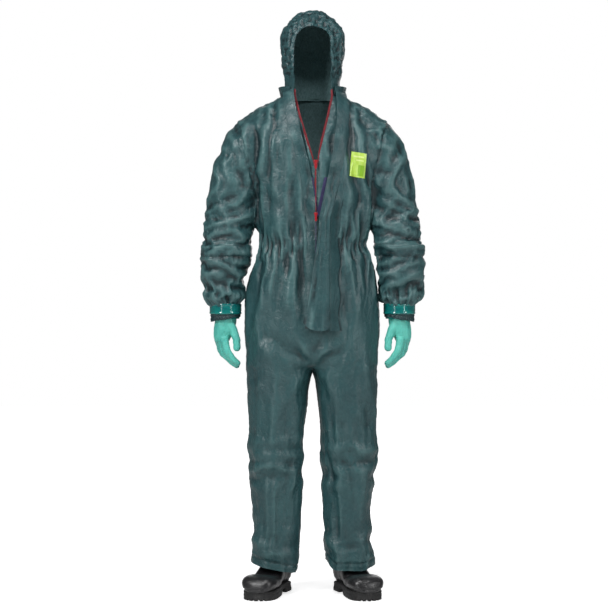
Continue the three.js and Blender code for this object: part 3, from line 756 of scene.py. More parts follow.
def calm_closure(plain, worn):
    """Lays the cloth flat under the zips, so that they stay in front of it."""
    x, y, z = plain.T
    share = 0.85 * ramp(0.075 - np.abs(x - 0.016), 0, 0.05) * (y < 0) * ramp(z, 0.78, 0.84)
    flat = np.column_stack([worn[:, 0], np.maximum(worn[:, 1], plain[:, 1] - 0.002), worn[:, 2]])
    return worn + (flat - worn) * share[:, None]


def body_panels():
    """The coverall's panels by name, as sheets, and the uncut surface for laying strips on."""
    base, plain, worn, square, arm, depth = worn_body()
    worn = calm_closure(plain, sewn(plain, worn, normals(worn, square), arm))
    out, height = np.abs(base[:, 0]), base[:, 2]
    below = (out - armpit_x(height)) * 0.98
    sleeve = np.where(height > ARMPIT_Z, armhole_distance(out, height), below)
    whole = Sheet(np.column_stack([plain, worn, seam_distance(plain, arm), depth, sleeve]), square)
    surface = BVHTree.FromPolygons(worn.tolist(), square.tolist())
    trunk, arms = whole.split(whole.data[:, -1])
    legs, trunk = trunk.split(trunk.plain[:, 2] - HIP_SEAM)
    trunk, _ = trunk.split(trunk.plain[:, 2] - NECK_SEAM)
    front, back = trunk.split(trunk.plain[:, 1] - SIDE_SEAM_Y)
    panels = {}
    panels["seat_panel"], panels["back_panel"] = back.split(back.plain[:, 2] - WAIST)
    x, z = front.plain[:, 0], front.plain[:, 2]
    panels["front_panel_right"], rest = front.split(x - edge_x(INNER_RIGHT, z))
    x, z = rest.plain[:, 0], rest.plain[:, 2]
    _, panels["front_panel_left"] = rest.split(x - edge_x(INNER_LEFT, z))
    for side, limb in zip(("right", "left"), legs.split(legs.plain[:, 0])):
        lower, upper = limb.split(limb.plain[:, 2] - KNEE_SEAM)
        _, lower = lower.split(lower.plain[:, 2] - hem_height(*lower.plain[:, :2].T))
        panels["upper_leg_" + side], panels["lower_leg_" + side] = upper, lower
    for side, limb in zip(("right", "left"), arms.split(arms.plain[:, 0])):
        lower, upper = limb.split(limb.plain[:, 2] - ELBOW_SEAM)
        _, lower = lower.split(lower.plain[:, 2] - CUFF_END)
        panels["upper_sleeve_" + side], panels["lower_sleeve_" + side] = upper, lower
    return panels, surface


# ---- Making pieces -------------------------------------------------------------------------------
# The frame's origin is under the middle of the suit's box; every piece is modelled from the axis of
# the body, which the ring's middle shows.
RING_LOW, RING_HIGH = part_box("glove_ring_outer_left")
AXIS = Vector((0, (RING_LOW.y + RING_HIGH.y) / 2, 0))


def cad(node):
    """A CAD node's lowest and highest corners, measured from the body's axis."""
    low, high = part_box(node)
    return low - AXIS, high - AXIS


def mesh_object(name, verts, faces, material, columns=None):
    """A smooth-shaded object whose `rest` attribute keeps its texture still when it bends."""
    mesh = bpy.data.meshes.new(name)
    mesh.from_pydata([tuple(Vector(v) + AXIS) for v in verts], [], faces)
    mesh.update()
    for polygon in mesh.polygons:
        polygon.use_smooth = True
    rest = mesh.attributes.new("rest", "FLOAT_VECTOR", "POINT")
    rest.data.foreach_set("vector", np.asarray(verts, float).ravel())
    for key, value in (columns or {}).items():
        mesh.attributes.new(key, "FLOAT", "POINT").data.foreach_set("value", np.asarray(value, float))
    for made in material if isinstance(material, (list, tuple)) else [material]:
        mesh.materials.append(made)
    obj = bpy.data.objects.new(name, mesh)
    bpy.context.scene.collection.objects.link(obj)
    return obj


def applied(obj, kind, **settings):
    """Replaces obj's mesh with the result of one modifier."""
    old, name = obj.data, obj.data.name
    obj.data = modified(obj, kind, **settings)
    bpy.data.meshes.remove(old)
    obj.data.name = name
    return obj


def facing_out(obj):
    """Turns a closed piece's faces to point outwards."""
    shape = bmesh.new()
    shape.from_mesh(obj.data)
    bmesh.ops.recalc_face_normals(shape, faces=shape.faces)
    shape.to_mesh(obj.data)
    shape.free()
    return obj


def thickened(obj, wall=WALL, inner=0):
    """Gives a sheet its thickness, inwards. inner is the material of its inner side, by number."""
    applied(obj, "SOLIDIFY", thickness=wall, offset=-1, use_even_offset=False,
            material_offset=inner, material_offset_rim=0)
    obj.data.set_sharp_from_angle(angle=math.radians(62))
    return obj


def hollow(points, faces):
    """How far each point lies in a hollow (below 0) or on a ridge (above 0), for painted shade and
    highlights on cloth and gloves and for wear on the shoes.
    """
    count = len(points)
    a, b = np.array([(f[i], f[(i + 1) % len(f)]) for f in faces for i in range(len(f))]).T
    degree = np.maximum(link_counts(a, b, count), 1)
    mean = spread(a, b, points[b] - points[a], count) / degree[:, None]
    out = unit(summed([f[0] for f in faces], face_turns(points, faces), count))
    value = -np.einsum("ij,ij->i", mean, out)
    starts = np.maximum(np.bincount(a, minlength=count), 1)
    for _ in range(2):
        value = (value + np.bincount(a, value[b], count) / starts) / 2
    return np.clip(value / 0.0006, -1, 1)


def cloth_piece(name, sheet, materials):
    """A panel of thickened cloth, with the fields that its material reads."""
    faces = sheet.faces()
    # ridge and depth drive the cloth material's painted highlights and painted shade.
    fields = {
        "seam": sheet.data[:, Sheet.SEAM],
        "ridge": hollow(sheet.worn, faces),
        "depth": sheet.data[:, Sheet.DEPTH],
    }
    obj = mesh_object(name, sheet.worn, faces, materials, fields)
    obj.data.attributes["rest"].data.foreach_set("vector", sheet.plain.ravel())
    thickened(obj, inner=1)
    return obj


# ---- Materials -------------------------------------------------------------------------------------
class Shader:
    """A material's node tree with short calls for the nodes used here."""

    def __init__(self, name, roughness, metallic=0.0):
        self.material = bpy.data.materials.new(name)
        self.material.use_nodes = True
        self.tree = self.material.node_tree
        self.surface = self.tree.nodes["Principled BSDF"]
        self.surface.inputs["Roughness"].default_value = roughness
        self.surface.inputs["Metallic"].default_value = metallic

    def node(self, kind, inputs=None, **settings):
        made = self.tree.nodes.new(kind)
        for key, value in settings.items():
            setattr(made, key, value)
        for key, value in (inputs or {}).items():
            self.join(value, made.inputs[key])
        return made

    def join(self, value, socket):
        if isinstance(value, bpy.types.NodeSocket):
            self.tree.links.new(value, socket)
        else:
            socket.default_value = value

    def rest(self, scale=(1, 1, 1)):
        place = self.node("ShaderNodeAttribute", attribute_name="rest").outputs["Vector"]
        return self.node("ShaderNodeMapping", {"Vector": place, "Scale": scale}).outputs[0]

    def value(self, attribute):
        return self.node("ShaderNodeAttribute", attribute_name=attribute).outputs["Fac"]

    def noise(self, scale, detail=3.0, rough=0.5, stretch=(1, 1, 1), distort=0.0):
        settings = {"Vector": self.rest(stretch), "Scale": scale, "Detail": detail,
                    "Roughness": rough, "Distortion": distort}
        return self.node("ShaderNodeTexNoise", settings).outputs["Fac"]

    def math(self, operation, *values):
        made = self.node("ShaderNodeMath", operation=operation)
        for socket, value in zip(made.inputs, values):
            self.join(value, socket)
        return made.outputs[0]

    def xyz(self):
        return self.node("ShaderNodeSeparateXYZ", {"Vector": self.rest()}).outputs

    def veins(self, *where, **settings):
        """Noise that is 0 along lines and rises beside them, as cloth does beside a crease."""
        return self.math("ABSOLUTE", self.math("SUBTRACT", self.noise(*where, **settings), 0.5))

    def wave(self, value, pitch):
        return self.math("SINE", self.math("MULTIPLY", value, pitch))

    def ramp(self, value, low, high, to_low=0.0, to_high=1.0):
        inputs = {"Value": value, "From Min": low, "From Max": high, "To Min": to_low, "To Max": to_high}
        return self.node("ShaderNodeMapRange", inputs, interpolation_type="SMOOTHSTEP").outputs[0]

    def mix(self, share, first, second):
        made = self.node("ShaderNodeMix", data_type="RGBA")
        self.join(share, made.inputs["Factor"])
        self.join(first, made.inputs[6])
        self.join(second, made.inputs[7])
        return made.outputs[2]

    def tinted(self, base, share, amount, colour):
        """The base with an amount of another colour in it where share is 1."""
        return self.mix(self.math("MULTIPLY", share, amount), base, rgb(*colour))

    def bump(self, height, strength, distance, under=None):
        inputs = {"Height": height, "Strength": strength, "Distance": distance}
        if under is not None:
            inputs["Normal"] = under
        return self.node("ShaderNodeBump", inputs).outputs[0]

    def set(self, **inputs):
        for key, value in inputs.items():
            self.join(value, self.surface.inputs[key.replace("_", " ")])
        return self.material


def rgb(red, green, blue):
    """A colour given as it looks, from 0 to 255, turned to the renderer's linear values."""
    linear = [((c / 255 + 0.055) / 1.055) ** 2.4 if c > 10 else c / 3295 for c in (red, green, blue)]
    return (*linear, 1)


def coated_cloth():
    """Satin coated nonwoven: soft mottling, fine point-bonded grain, crumples, painted highlights on the
    folds' ridges and painted shade in their hollows.
    """
    s = Shader("coated_cloth", 0.4)
    patch = s.ramp(s.noise(7, 4, 0.55), 0.3, 0.7)
    fleck = s.ramp(s.noise(90, 3, 0.6), 0.35, 0.7)
    ridge, depth = s.value("ridge"), s.value("depth")
    base = s.mix(patch, rgb(32, 62, 66), rgb(40, 74, 77))
    base = s.tinted(base, fleck, 0.12, (70, 106, 106))
    # Painted highlights: paler on sharp ridges and on the tops of the folds.
    base = s.tinted(base, s.ramp(ridge, 0.3, 1.0), 0.10, (112, 146, 145))
    base = s.tinted(base, s.ramp(depth, 0.15, 1.0), 0.28, (98, 136, 136))
    # Painted shade: darker in sharp hollows and deep in the valleys of the folds.
    base = s.tinted(base, s.ramp(ridge, -0.9, -0.1, 1, 0), 0.40, (10, 26, 30))
    base = s.tinted(base, s.ramp(depth, -0.9, 0.0, 1, 0), 0.74, (8, 24, 29))
    off_line = s.math("ABSOLUTE", s.math("SUBTRACT", s.value("seam"), 0.0045))
    dash = s.math("GREATER_THAN", s.math("SINE", stitch_run(s)), -0.35)
    stitch = s.math("MULTIPLY", s.ramp(off_line, 0.0004, 0.0011, 1, 0), dash)
    base = s.tinted(base, stitch, 0.7, (30, 58, 62))
    crease = s.veins(46, 3, 0.5, (1, 1, 0.75), 0.5)
    crumple = s.veins(120, 2, 0.5, distort=0.7)
    normal = s.bump(s.ramp(crease, 0, 0.09), 0.38, 0.0016)
    normal = s.bump(s.ramp(crumple, 0, 0.12), 0.24, 0.0006, normal)
    normal = s.bump(bonding(s), 0.22, 0.0002, normal)
    normal = s.bump(stitch, 0.5, 0.0006, normal)
    rough = s.ramp(s.noise(24, 3), 0.3, 0.7, 0.34, 0.46)
    return s.set(Base_Color=base, Roughness=rough, Normal=normal, Coat_Weight=0.10, Coat_Roughness=0.25,
                 Specular_IOR_Level=0.38)


def stitch_run(s):
    """Runs along any seam, so that its sine makes stitches about 3 mm long."""
    place = s.xyz()
    level = s.math("MULTIPLY", place["Z"], 2100.0)
    flat = s.math("ADD", place["X"], s.math("MULTIPLY", place["Y"], 0.7))
    return s.math("ADD", level, s.math("MULTIPLY", flat, 1500.0))


def bonding(s):
    """The small pressed points of a bonded nonwoven, about 2 mm apart."""
    place = s.xyz()
    across = s.wave(s.math("ADD", place["X"], place["Y"]), 3100.0)
    return s.math("MULTIPLY", across, s.wave(place["Z"], 3100.0))


def cloth_lining():
    """The uncoated inner side: matt, a little greyer, with a felted fibre grain."""
    s = Shader("cloth_lining", 0.85)
    fibre = s.ramp(s.noise(380, 4, 0.7, (1, 1, 0.3)), 0.3, 0.7)
    base = s.mix(fibre, rgb(66, 94, 96), rgb(92, 122, 124))
    normal = s.bump(fibre, 0.4, 0.0004)
    return s.set(Base_Color=base, Normal=normal)


def zip_tape(name, dark, light):
    """Woven tape: a herringbone of fine ribs, with painted shade in the hollows between them."""
    s = Shader(name, 0.55)
    place = s.xyz()
    rib = s.wave(s.math("ADD", place["Z"], s.math("ABSOLUTE", place["X"])), 5200.0)
    weave = s.ramp(s.math("ADD", rib, s.noise(600, 2)), -0.4, 1.4)
    # Darker where the weave dips: painted shade in the rib hollows.
    base = s.mix(weave, rgb(*dark), rgb(*light))
    return s.set(Base_Color=base, Normal=s.bump(weave, 0.5, 0.0004))


def painted_metal():
    """Red enamel on a cast slider, rubbed through to metal in small patches."""
    s = Shader("slider_red", 0.3)
    rub = s.ramp(s.noise(420, 4, 0.65), 0.62, 0.72)
    base = s.mix(rub, rgb(146, 18, 28), rgb(104, 92, 92))
    normal = s.bump(s.noise(700, 3), 0.15, 0.0002)
    return s.set(Base_Color=base, Metallic=s.math("MULTIPLY", rub, 0.8), Normal=normal, Coat_Weight=0.5)


def ribbed_elastic():
    """Braided elastic with ribs along it."""
    s = Shader("elastic", 0.85)
    rib = s.ramp(s.wave(s.xyz()["Z"], 2800.0), -1, 1)
    fuzz = s.ramp(s.noise(800, 4, 0.7), 0.3, 0.7)
    # Darker in the hollows between the ribs: painted shade.
    base = s.mix(s.math("MULTIPLY", rib, fuzz), rgb(24, 40, 43), rgb(52, 74, 76))
    return s.set(Base_Color=base, Normal=s.bump(rib, 0.6, 0.0005), Sheen_Weight=0.2)


def moulded_ring():
    """Glossy moulded plastic with faint flow marks and fine scratches."""
    s = Shader("ring_teal", 0.12)
    flow = s.ramp(s.noise(30, 3, 0.5, (1, 1, 3)), 0.3, 0.7)
    scratch = s.ramp(s.noise(260, 5, 0.7, (1, 1, 9)), 0.6, 0.75)
    base = s.mix(flow, rgb(0, 92, 94), rgb(4, 120, 112))
    base = s.tinted(base, scratch, 0.25, (90, 170, 165))
    rough = s.ramp(scratch, 0, 1, 0.12, 0.35)
    return s.set(Base_Color=base, Roughness=rough, Normal=s.bump(scratch, 0.08, 0.0002), Coat_Weight=0.6)


def glove_nitrile():
    """Supple nitrile: flocked-looking fine grain, with painted shade in its hollows and painted highlights
    on its ridges.
    """
    s = Shader("glove_green", 0.45)
    patch = s.ramp(s.noise(22, 3, 0.5), 0.3, 0.7)
    base = s.mix(patch, rgb(70, 172, 158), rgb(88, 188, 172))
    # Painted shade in the hollows and painted highlights on the ridges.
    base = s.tinted(base, s.ramp(s.value("ridge"), -0.8, 0, 1, 0), 0.55, (52, 150, 134))
    base = s.tinted(base, s.ramp(s.value("ridge"), 0.2, 1), 0.3, (160, 232, 220))
    crease = s.veins(75, 3, 0.5, (1, 1, 1.8), 0.6)
    normal = s.bump(s.ramp(crease, 0, 0.06), 0.5, 0.0009)
    normal = s.bump(s.noise(1500, 2), 0.3, 0.0002, normal)
    return s.set(Base_Color=base, Normal=normal, Subsurface_Weight=0.06, Sheen_Weight=0.1)


def printed_label():
    """Lime film label with a darker block in its lower corner and plain pale bars, no lettering."""
    s = Shader("label_lime", 0.3)
    across, upward = s.value("across"), s.value("upward")

    def inside(value, low, high):
        return s.math("MULTIPLY", s.math("GREATER_THAN", value, low), s.math("LESS_THAN", value, high))

    def patch(left, right, low, high):
        return s.math("MULTIPLY", inside(across, left, right), inside(upward, low, high))

    base = s.mix(s.ramp(s.noise(60, 3), 0.3, 0.7), rgb(176, 208, 88), rgb(160, 192, 66))
    base = s.mix(patch(0.52, 0.93, 0.06, 0.50), base, rgb(122, 168, 16))
    bars = s.math("MAXIMUM", patch(0.16, 0.84, 0.80, 0.86), patch(0.36, 0.84, 0.66, 0.71))
    base = s.mix(bars, base, rgb(206, 222, 140))
    crumple = s.ramp(s.noise(70, 3, 0.5, distort=0.6), 0.3, 0.7)
    return s.set(Base_Color=base, Normal=s.bump(crumple, 0.3, 0.0008), Coat_Weight=0.4, Coat_Roughness=0.15)


def shoe_leather():
    """Black grained leather with a polish, greyer where it creases and scuffs."""
    s = Shader("shoe_leather", 0.38)
    cells = s.node("ShaderNodeTexVoronoi", {"Vector": s.rest(), "Scale": 620.0}, feature="DISTANCE_TO_EDGE")
    scuff = s.ramp(s.noise(48, 5, 0.7), 0.55, 0.75)
    base = s.mix(scuff, rgb(24, 24, 26), rgb(52, 52, 55))
    base = s.tinted(base, s.ramp(s.value("ridge"), 0.1, 0.9), 0.4, (84, 84, 88))
    crease = s.veins(60, 3, 0.5, (0.6, 1.6, 1), 0.5)
    normal = s.bump(s.ramp(crease, 0, 0.07), 0.3, 0.0009)
    normal = s.bump(s.ramp(cells.outputs[0], 0, 0.25), 0.25, 0.0003, normal)
    return s.set(Base_Color=base, Roughness=s.ramp(scuff, 0, 1, 0.3, 0.55), Normal=normal, Coat_Weight=0.25,
                 Coat_Roughness=0.3)


def shoe_rubber():
    """Matt moulded rubber, dusty in patches and grey on its worn edges."""
    s = Shader("shoe_rubber", 0.68)
    dust = s.ramp(s.noise(80, 5, 0.65), 0.5, 0.75)
    base = s.tinted(rgb(26, 26, 27), dust, 0.7, (58, 57, 56))
    base = s.tinted(base, s.ramp(s.value("ridge"), 0.2, 1), 0.45, (90, 90, 90))
    return s.set(Base_Color=base, Normal=s.bump(s.noise(900, 3), 0.35, 0.0003))


def pressed_steel():
    """Brushed steel for the cap inside the shoe."""
    s = Shader("toe_steel", 0.35, 1.0)
    place = s.node("ShaderNodeTexCoord").outputs["Object"]
    inputs = {"Vector": place, "Scale": 300.0, "Detail": 4.0}
    brushed = s.node("ShaderNodeTexNoise", inputs).outputs["Fac"]
    base = s.mix(brushed, rgb(120, 124, 128), rgb(168, 172, 176))
    return s.set(Base_Color=base, Normal=s.bump(brushed, 0.2, 0.0002))


# ---- Strips laid on the front ----------------------------------------------------------------------
def front_y(surface, x, z):
    """y of the cloth's front at a place, in metres."""
    hit = surface.ray_cast(Vector((x, -1, z)), Vector((0, 1, 0)))[0]
    return hit.y if hit else 0.0


def resting_y(surface, xs, zs):
    """The foremost cloth near each place of a grid, smoothed: where a stiff strip would rest."""
    grid = np.array([[front_y(surface, x, z) for x, z in zip(*row)] for row in zip(xs, zs)])
    for _ in range(2):
        wide = np.pad(grid, 2, mode="edge")
        stack = [wide[i : i + grid.shape[0], j : j + grid.shape[1]] for i in range(5) for j in range(5)]
        grid = 0.5 * np.min(stack, axis=0) + 0.5 * np.mean(stack, axis=0)
    return grid


def strip_points(surface, left, right, low, high, lift, columns=9, step=0.004):
    """A grid of points between two edges, laid on the cloth. lift(u, z) is how far it stands off."""
    rows = max(2, int((high - low) / step) + 1)
    z = np.linspace(low, high, rows)
    u = np.linspace(0, 1, columns)
    x = edge_x(left, z)[:, None] * (1 - u) + edge_x(right, z)[:, None] * u
    zs = np.repeat(z[:, None], columns, axis=1)
    y = resting_y(surface, x, zs) - lift(u[None, :], zs)
    return np.stack([x, y, zs], axis=2)


def strip_piece(name, grid, materials, wall=WALL, smooth=1):
    """A thin closed strip from a grid of points whose rows run upwards and columns along +X."""
    rows, columns = grid.shape[:2]
    points = grid.reshape(-1, 3)
    faces = grid_faces(rows, columns)
    square = np.array(faces)
    place = np.arange(columns)
    width = np.linalg.norm(grid[:, 1:] - grid[:, :-1], axis=2).mean()
    # ridge and depth let the cloth material paint highlights on the strip's ridges and shade in its
    # hollows.
    smoothed = relax(points, springs(square)[0], 14)
    relief = np.einsum("ij,ij->i", points - smoothed, normals(points, square))
    fields = {
        "seam": np.tile(np.minimum(place, columns - 1 - place) * width, rows),
        "ridge": hollow(points, faces),
        "depth": np.clip(relief / 0.0014, -1, 1),
        "across": np.tile(np.linspace(0, 1, columns), rows),
        "upward": np.repeat(np.linspace(0, 1, rows), columns),
    }
    obj = mesh_object(name, points, faces, materials, fields)
    if smooth:
        applied(obj, "SUBSURF", levels=smooth, render_levels=smooth)
    thickened(obj, wall, 1 if isinstance(materials, list) else 0)
    return obj


# ---- Edges of the outer layer, in mm: x and z from the neck down. OUTER is free, FOLD is sewn ------
OUTER_RIGHT = [(-62, 1640), (-60, 1590), (-50, 1520), (-34, 1450), (-12, 1365), (6, 1262),
               (16, 1180), (18, 1139), (14, 1060), (12, 950), (12, 846)]
OUTER_LEFT = [(66, 1640), (74, 1585), (78, 1522), (66, 1410), (50, 1330), (31, 1240), (20, 1192)]
FOLD_RIGHT = [(-92, 1640), (-94, 1590), (-88, 1520), (-74, 1450), (-50, 1365), (-30, 1262),
              (-20, 1180), (-18, 1139), (-21, 1060), (-24, 950), (-26, 846)]
FOLD_LEFT = [(88, 1640), (108, 1585), (116, 1522), (106, 1410), (90, 1330), (68, 1240), (56, 1192)]
FLAP_EDGE = [(20, 1192), (18, 1139), (6, 1060), (-10, 950), (-30, 836)]
FLAP_HINGE = [(56, 1192), (53, 1139), (53, 1008), (53, 836)]


FLAP_LOW, FLAP_HIGH = 0.836, 1.192
NECK_TOP = 1.600  # where the lapels and the inner tapes end
FLAP_COLUMNS = 15


def shifted(edge, dx):
    return [(x + dx, z) for x, z in edge]


def flap_y(u, z):
    """y of the flap's outer face; u runs from its free edge, which droops past the zips, to its hinge."""
    x = edge_x(FLAP_EDGE, z) * (1 - u) + edge_x(FLAP_HINGE, z) * u
    spots = np.stack(np.broadcast_arrays(0.16 * u, 0.0, z * 0.42), -1)
    flat = spots.reshape(-1, 3)
    wave = 0.0022 + 0.0024 * noise(flat, 0.036, 61) + 0.0026 * creases(flat, 0.044, 62)
    wave = (wave + 0.0006 * creases(flat, 0.018, 63)).reshape(spots.shape[:-1])
    curl = -0.0050 * bell(z, 0.985, 0.060) * (1 - u) ** 3
    droop = 0.0085 * ramp(0.003 - x, 0, 0.030)
    return cad("storm_flap")[0].y + 0.0012 + droop + curl - wave * (1 - 0.6 * u)


def lapels(surface, cloth):
    """The outer layer's two standing edges, from the hood's rim down to the flap."""
    def right_lift(u, z):
        wave = 0.0016 * np.sin(z * 92 + 2 * u) + 0.0012 * np.sin(z * 41)
        free = 0.35 + 0.65 * ramp(z, 1.10, 1.20)
        over_slider = 0.0080 * ramp(0.960 - z, 0, 0.050) * ramp(u, 0.3, 0.7)
        return 0.002 + (0.007 * u**1.5 + wave * u) * free - 0.0035 * (1 - u) ** 4 + over_slider

    def left_lift(u, z):
        wave = 0.0020 * np.sin(z * 70 + 1) + 0.0014 * np.sin(z * 131)
        proud = 0.020 * ramp(1.30 - z, 0, 0.12) + 0.013 * ramp(z, 1.2, 1.3)
        return 0.0025 + (proud - 0.002) * (1 - u) ** 1.3 + wave * (1 - u) - 0.0035 * u**4

    right = strip_points(surface, FOLD_RIGHT, OUTER_RIGHT, FLAP_LOW + 0.010, NECK_TOP, right_lift)
    left_low = FLAP_HIGH - 0.0005
    left = strip_points(surface, OUTER_LEFT, FOLD_LEFT, left_low, NECK_TOP, left_lift, FLAP_COLUMNS)
    share = ramp(1.330 - left[:, :, 2], 0, 0.138)
    flap = flap_y(np.linspace(0, 1, FLAP_COLUMNS)[None, :], left[:, :, 2])
    left[:, :, 1] += (flap - left[:, :, 1]) * share
    return (
        left[:, -1],
        strip_piece("lapel_right_cloth", right, cloth, 0.0016),
        strip_piece("lapel_left_cloth", left, cloth, 0.0016),
    )


def storm_flap(surface, cloth, lapel_edge):
    """The flap over the closed zips, and the fold of cloth that it and the lapel's lower end turn on."""
    z = np.linspace(FLAP_LOW, FLAP_HIGH, 90)
    u = np.linspace(0, 1, FLAP_COLUMNS)
    x = edge_x(FLAP_EDGE, z)[:, None] * (1 - u) + edge_x(FLAP_HINGE, z)[:, None] * u
    zs = np.repeat(z[:, None], len(u), axis=1)
    corner = 0.026 * (1 - u) ** 4 + 0.008 * u**6
    zs = zs + corner * ramp(0.900 - zs, 0, 0.064)
    grid = np.stack([x, flap_y(u, zs), zs], 2)
    flap = strip_piece("storm_flap_cloth", grid, cloth, 0.0014)
    low = z[z < FLAP_HIGH - 0.002]
    hinge = np.column_stack([edge_x(FLAP_HINGE, low), flap_y(1.0, low), low])
    hinge = np.vstack([hinge, lapel_edge[lapel_edge[:, 2] < 1.340]])
    share = np.linspace(0, 1, 13)
    width = (0.036 + 0.004 * np.sin(hinge[:, 2] * 55)) * (1 - 0.8 * ramp(hinge[:, 2], 1.22, 1.34))
    base = np.repeat(hinge[:, None, :], len(share), axis=1)
    base[:, :, 0] += 0.0012 + width[:, None] * share
    rest = resting_y(surface, base[:, :, 0], base[:, :, 2])
    fall = ramp(share, -0.15, 0.85)[None, :]
    sewn_in = 0.003 * (fall > 0.99)
    base[:, :, 1] = (base[:, :, 1] + 0.0012) * (1 - fall) + (rest - 0.0012 + sewn_in) * fall
    return flap, strip_piece("flap_base_cloth", base, cloth, 0.0012)


def closure_strip(material):
    """The hook-and-loop strip behind the flap's free edge."""
    low, high = cad("flap_closure_strip")
    z = np.linspace(low.z, high.z, 60)
    inset = np.linspace(0.004, 0.014, 5)[None, :]
    zs = np.repeat(z[:, None], inset.size, 1)
    free = edge_x(FLAP_EDGE, z)[:, None]
    u = inset / (edge_x(FLAP_HINGE, z)[:, None] - free)
    grid = np.stack([free + inset, flap_y(u, zs) + 0.0026, zs], 2)
    return strip_piece("closure_strip_weave", grid, material, 0.0007)


def tapes(surface, red, navy):
    """Zip tapes by CAD node: red on the inner opening, navy under the outer layer's edges."""
    bottom = cad("inner_zip_tape_left")[0].z
    gap, v_bottom = 0.0008, 1.365
    made = {}

    def tape(kind, side, edge, sides, heights, lift, material):
        grid = strip_points(surface, *(shifted(edge, dx) for dx in sides), *heights, lift, 5)
        if kind == "inner":
            x = grid[:, :, 0]
            apart = np.minimum(x, ZIP_X - gap) if side == "right" else np.maximum(x, ZIP_X + gap)
            grid[:, :, 0] = np.where(grid[:, :, 2] < v_bottom, apart, x)
        name = "%s_tape_weave_%s" % (kind, side)
        made["%s_zip_tape_%s" % (kind, side)] = strip_piece(name, grid, material, 0.0008)

    for side, edge in (("right", INNER_RIGHT), ("left", INNER_LEFT)):
        lift = lambda u, z, side=side: -0.0016 + 0.0022 * (u if side == "right" else 1 - u)
        tape("inner", side, edge, (-3, 3), (bottom, NECK_TOP), lift, red)
    outer = (("right", OUTER_RIGHT, (-6, 5), 0.0030), ("left", OUTER_LEFT, (-11, 2), 0.0050))
    for side, edge, sides, proud in outer:
        lift = lambda u, z, proud=proud: proud + 0.001 * np.sin(z * 60) + 0 * u
        tape("outer", side, edge, sides, (FLAP_HIGH + 0.004, 1.318), lift, navy)
    return made


def box_points(centre, along, across, out, size):
    """Eight corners of a small block turned to three directions."""
    half = [Vector(v).normalized() * s / 2 for v, s in zip((along, across, out), size)]
    ends = (-1, 1)
    return [tuple(Vector(centre) + a * half[0] + b * half[1] + c * half[2])
            for a in ends for b in ends for c in ends]


TOOTH_PITCH = 0.0022
BLOCK_FACES = [(0, 1, 3, 2), (4, 6, 7, 5), (0, 4, 5, 1), (2, 3, 7, 6), (0, 2, 6, 4), (1, 5, 7, 3)]


def teeth(name, places, material, size=(0.0013, 0.0028, 0.0016)):
    """A chain of bevelled teeth; places gives each tooth's middle and the chain's direction there."""
    front = Vector((0, 1, 0))
    parts = [(box_points(middle, along, Vector(along).cross(front), front, size), BLOCK_FACES)
             for middle, along in places]
    obj = mesh_object(name, *gather(parts), material)
    applied(obj, "BEVEL", width=0.0003, segments=2)
    return obj


def chain_places(low, high, y, pitch=TOOTH_PITCH):
    """The closed part of a zip: teeth from both sides in turn, down the zip line."""
    stagger = (-0.0006, 0.0006)
    return [((ZIP_X + stagger[i % 2], y, z), (0, 0, 1)) for i, z in enumerate(np.arange(low, high, pitch))]


def open_places(surface, edge, inset, low, high, pitch=TOOTH_PITCH):
    """The open part of the inner zip: teeth along one tape's free edge."""
    z = np.arange(low, high, pitch)
    x = edge_x(shifted(edge, inset), z)
    y = np.array([front_y(surface, a, b) for a, b in zip(x, z)])
    y = np.convolve(np.pad(y, 6, mode="edge"), np.ones(13) / 13, "valid") - 0.0022
    points = np.column_stack([x, y, z])
    along = np.gradient(points, axis=0)
    return list(zip(points.tolist(), along.tolist()))


def bevelled_plate(name, outline, front, back, material, width=0.0005):
    """A flat part from an outline in x and z, with rounded edges."""
    count = len(outline)
    verts = [(x, y, z) for y in (front, back) for x, z in outline]
    faces = [tuple(range(count)), tuple(reversed(range(count, 2 * count)))]
    faces += [(i, i + count, (i + 1) % count + count, (i + 1) % count) for i in range(count)]
    obj = facing_out(mesh_object(name, verts, faces, material))
    applied(obj, "BEVEL", width=width, segments=3)
    return obj


def arc(x, z, radius, start, end, steps=10):
    """Points of an arc round x and z, between two angles in degrees."""
    turn = np.radians(np.linspace(start, end, steps))
    return [(x + radius * math.cos(t), z + radius * math.sin(t)) for t in turn]


def slider(prefix, material):
    """A zip slider: a shield-shaped body that is wider where the tapes part, and its pull."""
    low, high = cad(prefix + "_slider")
    x, top, bottom = ZIP_X, high.z, low.z
    half, corner = (high.x - low.x) / 2, 0.0035
    shield = arc(x - half + corner, top - corner, corner, 170, 95, 6)
    shield += [(x - 0.0010, top - 0.0022), (x + 0.0010, top - 0.0022)]
    shield += arc(x + half - corner, top - corner, corner, 85, 10, 6)
    shield += [(x + half * 0.62, bottom + 0.004), (x + half * 0.55, bottom)]
    shield += [(x - half * 0.55, bottom), (x - half * 0.62, bottom + 0.004)]
    front, back = low.y + 0.0018, cad(prefix + "_chain")[0].y - 0.0003
    body = bevelled_plate(prefix + "_slider_body", shield[::-1], front, back, material, 0.0007)
    low, high = cad(prefix + "_pull")
    half, top = (high.x - low.x) / 2, high.z
    tab = [(x - half * 0.55, top), (x - half, top - 0.006)]
    tab += arc(x, low.z + half, half, 180, 360, 14)
    tab += [(x + half, top - 0.006), (x + half * 0.55, top)]
    return body, bevelled_plate(prefix + "_pull_tab", tab, low.y, high.y, material, 0.0004)


def stop_block(material):
    """The block at the lower end of the inner zip."""
    low, high = cad("inner_zip_end_stop")
    r = 0.0012
    corners = ((low.x + r, low.z + r, 180), (high.x - r, low.z + r, 270),
               (high.x - r, high.z - r, 0), (low.x + r, high.z - r, 90))
    outline = [point for x, z, start in corners for point in arc(x, z, r, start, start + 90, 4)]
    return bevelled_plate("inner_zip_stop_block", outline, low.y, high.y, material)


# ---- Hood and collar -------------------------------------------------------------------------------
def face_field(x, y, z):
    """Below zero inside the face opening, in metres."""
    up = np.maximum(z - FACE_SPRING, 0) / FACE_RISE
    arch = ((np.abs(x / FACE_HALF) ** 2.6 + up**2.6) ** (1 / 2.6) - 1) * FACE_HALF
    return np.where(y < 0.03, arch, 1.0)


